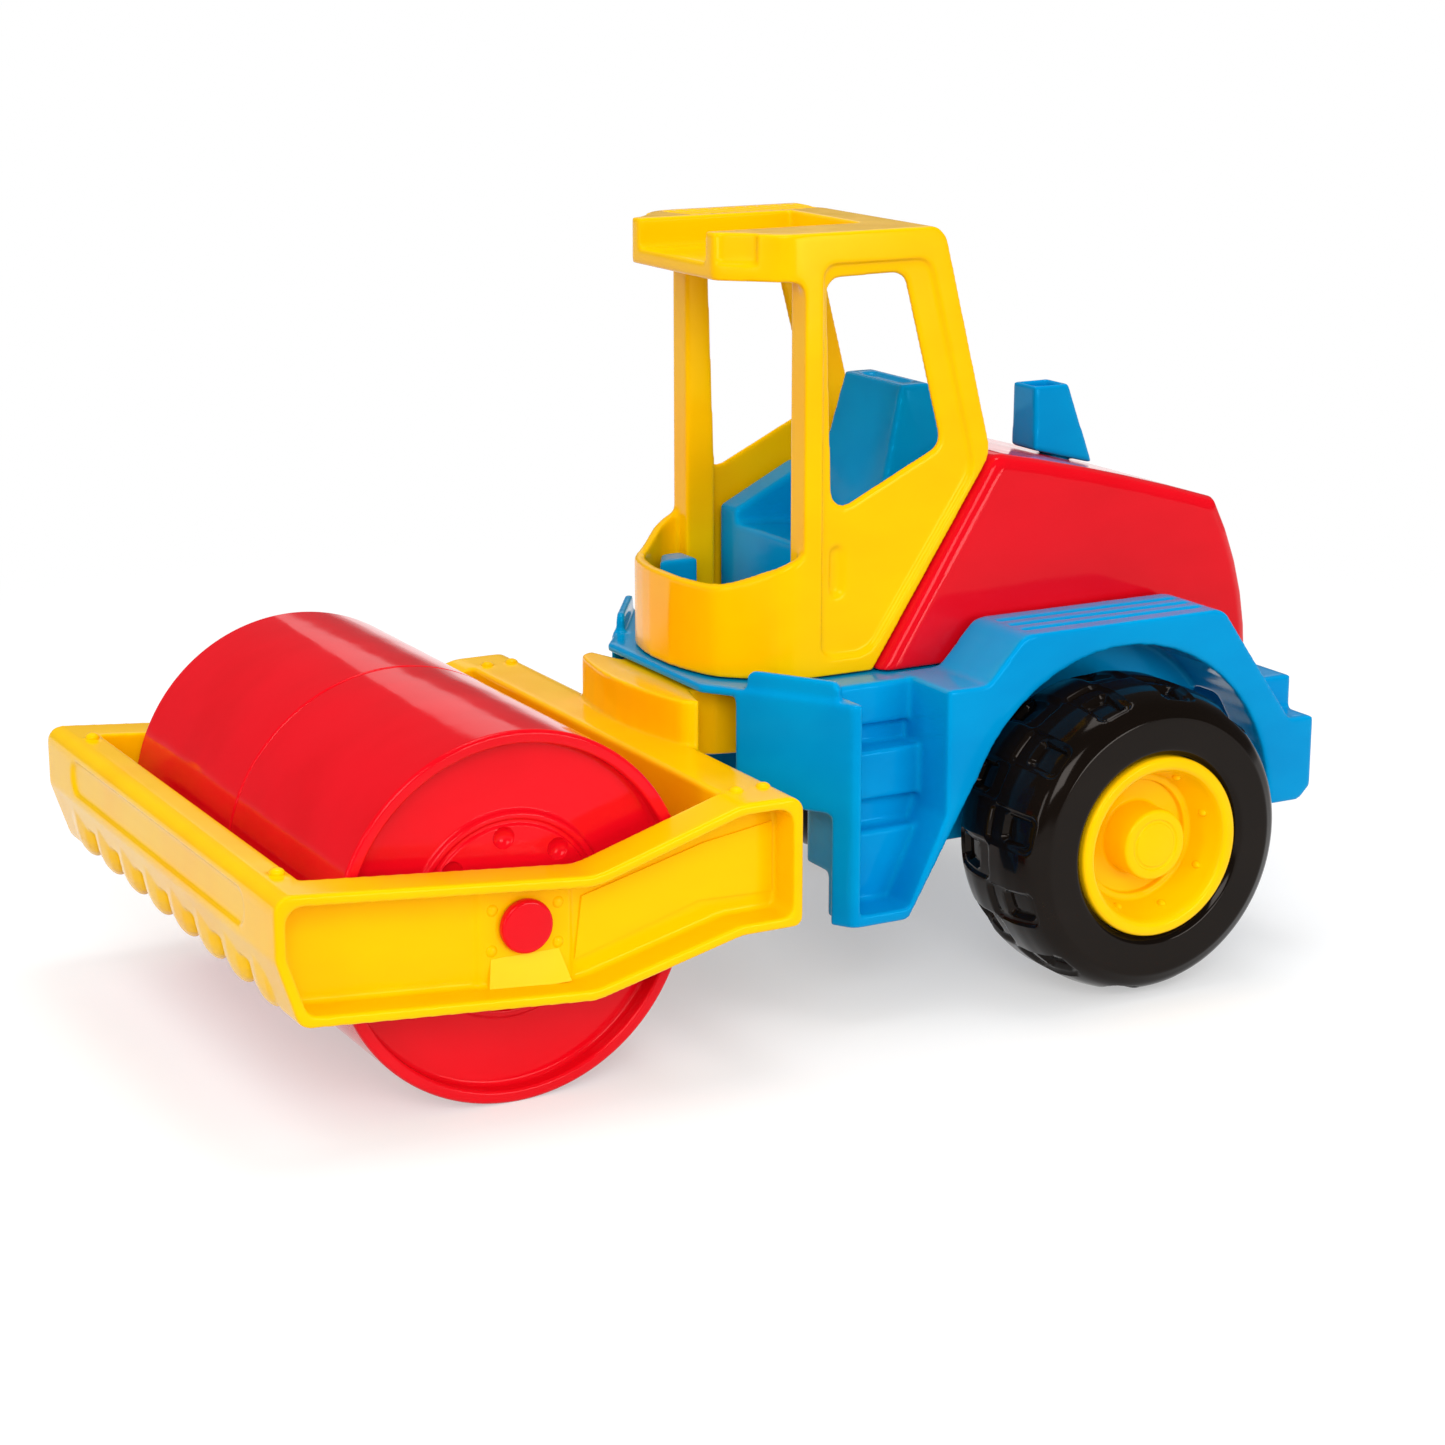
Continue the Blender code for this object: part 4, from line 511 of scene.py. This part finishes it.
def fasteners():
    for node in ("pivot_screw", "seat_screw_left", "seat_screw_right", "hood_screw_left", "hood_screw_right"):
        low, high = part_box(node)
        middle = (low + high) / 2 / MM
        length = (high.z - low.z) / MM
        profile = [(0.0, 0.0, 0), (2.0, 0.0, 0.5), (3.0, 0.9, 0.6), (3.0, 1.8, 0.2), (1.4, 1.8, 0),
                   (1.4, length - 1.6, 0.2), (0.0, length, 0)]
        bm = turned(profile, Vector(), 1, 48, closed=False)
        cross = bmesh.new()
        for size in ((1.4, 0.7, 3.2), (1.4, 3.2, 0.7)):
            bmesh.ops.create_cube(cross, size=1.0, matrix=Matrix.Diagonal((*size, 1.0)))
        bm = worked(bm, f"{node}_work", cut=cross)
        place = Matrix.Translation((middle.x, middle.y, low.z / MM)) @ Matrix.Rotation(-math.pi / 2, 4, "Y")
        bmesh.ops.transform(bm, matrix=place, verts=bm.verts)
        piece = piece_from(bm, f"{node}_zinc", 35)
        finish_piece(piece, "rear_unit", "zinc_plated_steel", ZINC, node)
    low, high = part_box("pivot_washer")
    profile = [(1.7, 0.0, 0.15), (10.0, 0.0, 0.3), (10.0, 1.5, 0.3), (1.7, 1.5, 0.15)]
    bm = turned(profile, Vector(), 1, 96, closed=True)
    place = Matrix.Translation((0.0, 0.0, low.z / MM)) @ Matrix.Rotation(-math.pi / 2, 4, "Y")
    bmesh.ops.transform(bm, matrix=place, verts=bm.verts)
    finish_piece(piece_from(bm, "pivot_washer_zinc", 35), "rear_unit", "zinc_plated_steel", ZINC, "pivot_washer")


# Studio

def white_for_sight(tree):
    """1 for rays that show the surroundings: straight, in gloss and through clear stuff."""
    path = add_node(tree, "ShaderNodeLightPath")
    shown = add_node(tree, "ShaderNodeMath", {0: path.outputs["Is Camera Ray"], 1: path.outputs["Is Glossy Ray"]},
                     operation="MAXIMUM")
    return add_node(tree, "ShaderNodeMath", {
        0: shown.outputs["Value"], 1: path.outputs["Is Transmission Ray"]}, operation="MAXIMUM").outputs["Value"]


def studio():
    scene = bpy.context.scene
    scene.view_settings.view_transform = "Standard"

    # Room: a white sweep to the eye; in gloss its foot shines and the room above it is dim
    world = bpy.data.worlds.new("white_room")
    scene.world = world
    world.use_nodes = True
    tree = world.node_tree
    heading = add_node(tree, "ShaderNodeSeparateXYZ", {0: add_node(tree, "ShaderNodeTexCoord").outputs["Generated"]})
    sweep = add_node(tree, "ShaderNodeMapRange", {
        "Value": heading.outputs["Z"], "From Min": 0.0, "From Max": 0.06, "To Min": 0.5, "To Max": 0.12},
        interpolation_type="SMOOTHSTEP")
    path = add_node(tree, "ShaderNodeLightPath")
    shown = add_node(tree, "ShaderNodeMath", {0: path.outputs["Is Camera Ray"], 1: sweep.outputs["Result"]},
                     operation="MAXIMUM")
    level = add_node(tree, "ShaderNodeMix", {
        "Factor": white_for_sight(tree), "A": 0.82, "B": shown.outputs["Value"]}, data_type="FLOAT")
    tree.links.new(level.outputs["Result"], tree.nodes["Background"].inputs["Strength"])
    tree.nodes["Background"].inputs["Color"].default_value = (1.0, 1.0, 1.0, 1.0)

    # Floor: pale, keeps the soft shadow, and fades to white away from the toy
    bm = bmesh.new()
    bmesh.ops.create_grid(bm, x_segments=2, y_segments=2, size=3000.0)
    floor = piece_from(bm, "studio_floor")
    paper = bpy.data.materials.new("white_paper_floor")
    paper.use_nodes = True
    tree = paper.node_tree
    tree.nodes.remove(tree.nodes["Principled BSDF"])
    seen = white_for_sight(tree)
    lift = add_node(tree, "ShaderNodeMath", {0: seen, 1: 0.42}, operation="MULTIPLY")
    diffuse = add_node(tree, "ShaderNodeBsdfDiffuse", {"Color": (0.58, 0.58, 0.58, 1.0)})
    glow = add_node(tree, "ShaderNodeEmission", {"Strength": lift.outputs["Value"]})
    lit = add_node(tree, "ShaderNodeAddShader", {0: diffuse.outputs["BSDF"], 1: glow.outputs["Emission"]})
    white = add_node(tree, "ShaderNodeEmission", {"Strength": seen})
    place = add_node(tree, "ShaderNodeTexCoord").outputs["Object"]
    away = add_node(tree, "ShaderNodeVectorMath", {0: place}, operation="LENGTH")
    fade = add_node(tree, "ShaderNodeMapRange", {
        "Value": away.outputs["Value"], "From Min": 0.22, "From Max": 0.45}, interpolation_type="SMOOTHSTEP")
    both = add_node(tree, "ShaderNodeMixShader", {
        "Fac": fade.outputs["Result"], 1: lit.outputs["Shader"], 2: white.outputs["Emission"]})
    tree.links.new(both.outputs["Shader"], tree.nodes["Material Output"].inputs["Surface"])
    floor.data.materials.append(paper)

    # Softboxes: the key by the camera, a tall one at the front, one to the right, one overhead, a weak one behind
    for name, place, aim, width, height, power in (
            ("key_softbox", (0.95, -0.45, 0.62), (0.0, 0.0, 0.06), 0.50, 0.50, 5.0),
            ("front_softbox", (0.45, -0.85, 0.30), (0.0, 0.0, 0.08), 0.16, 0.50, 1.3),
            ("right_softbox", (0.95, 0.36, 0.13), (0.0, 0.0, 0.05), 0.36, 0.22, 2.0),
            ("overhead_softbox", (-0.10, 0.10, 1.20), (0.0, 0.0, 0.05), 0.50, 0.50, 3.2),
            ("back_softbox", (-0.80, 0.46, 0.40), (0.0, 0.0, 0.06), 0.60, 0.20, 0.22)):
        light = bpy.data.lights.new(name, "AREA")
        light.shape = "RECTANGLE"
        light.size = width
        light.size_y = height
        light.energy = power
        lamp = bpy.data.objects.new(name, light)
        lamp.visible_camera = False
        lamp.location = place
        lamp.rotation_euler = (Vector(aim) - Vector(place)).to_track_quat("-Z", "Y").to_euler()
        scene.collection.objects.link(lamp)

    # Camera where the photograph was taken from
    turn, rise = math.radians(61.32), math.radians(14.86)
    back = Vector((math.sin(turn) * math.cos(rise), -math.cos(turn) * math.cos(rise), math.sin(rise)))
    lens = bpy.data.cameras.new("camera")
    lens.lens = 78.73
    lens.sensor_width = 36.0
    lens.clip_start = 0.02
    camera = bpy.data.objects.new("camera", lens)
    camera.location = (0.56047, -0.30236, 0.22083)
    camera.rotation_euler = (-back).to_track_quat("-Z", "Y").to_euler()
    scene.collection.objects.link(camera)
    scene.camera = camera


drum_frame()
drum()
chassis()
cab()
seat()
hood()
exhaust()
for name, side in SIDES:
    tyre(name, side)
    wheel_hub(name, side)
axle()
fasteners()
studio()
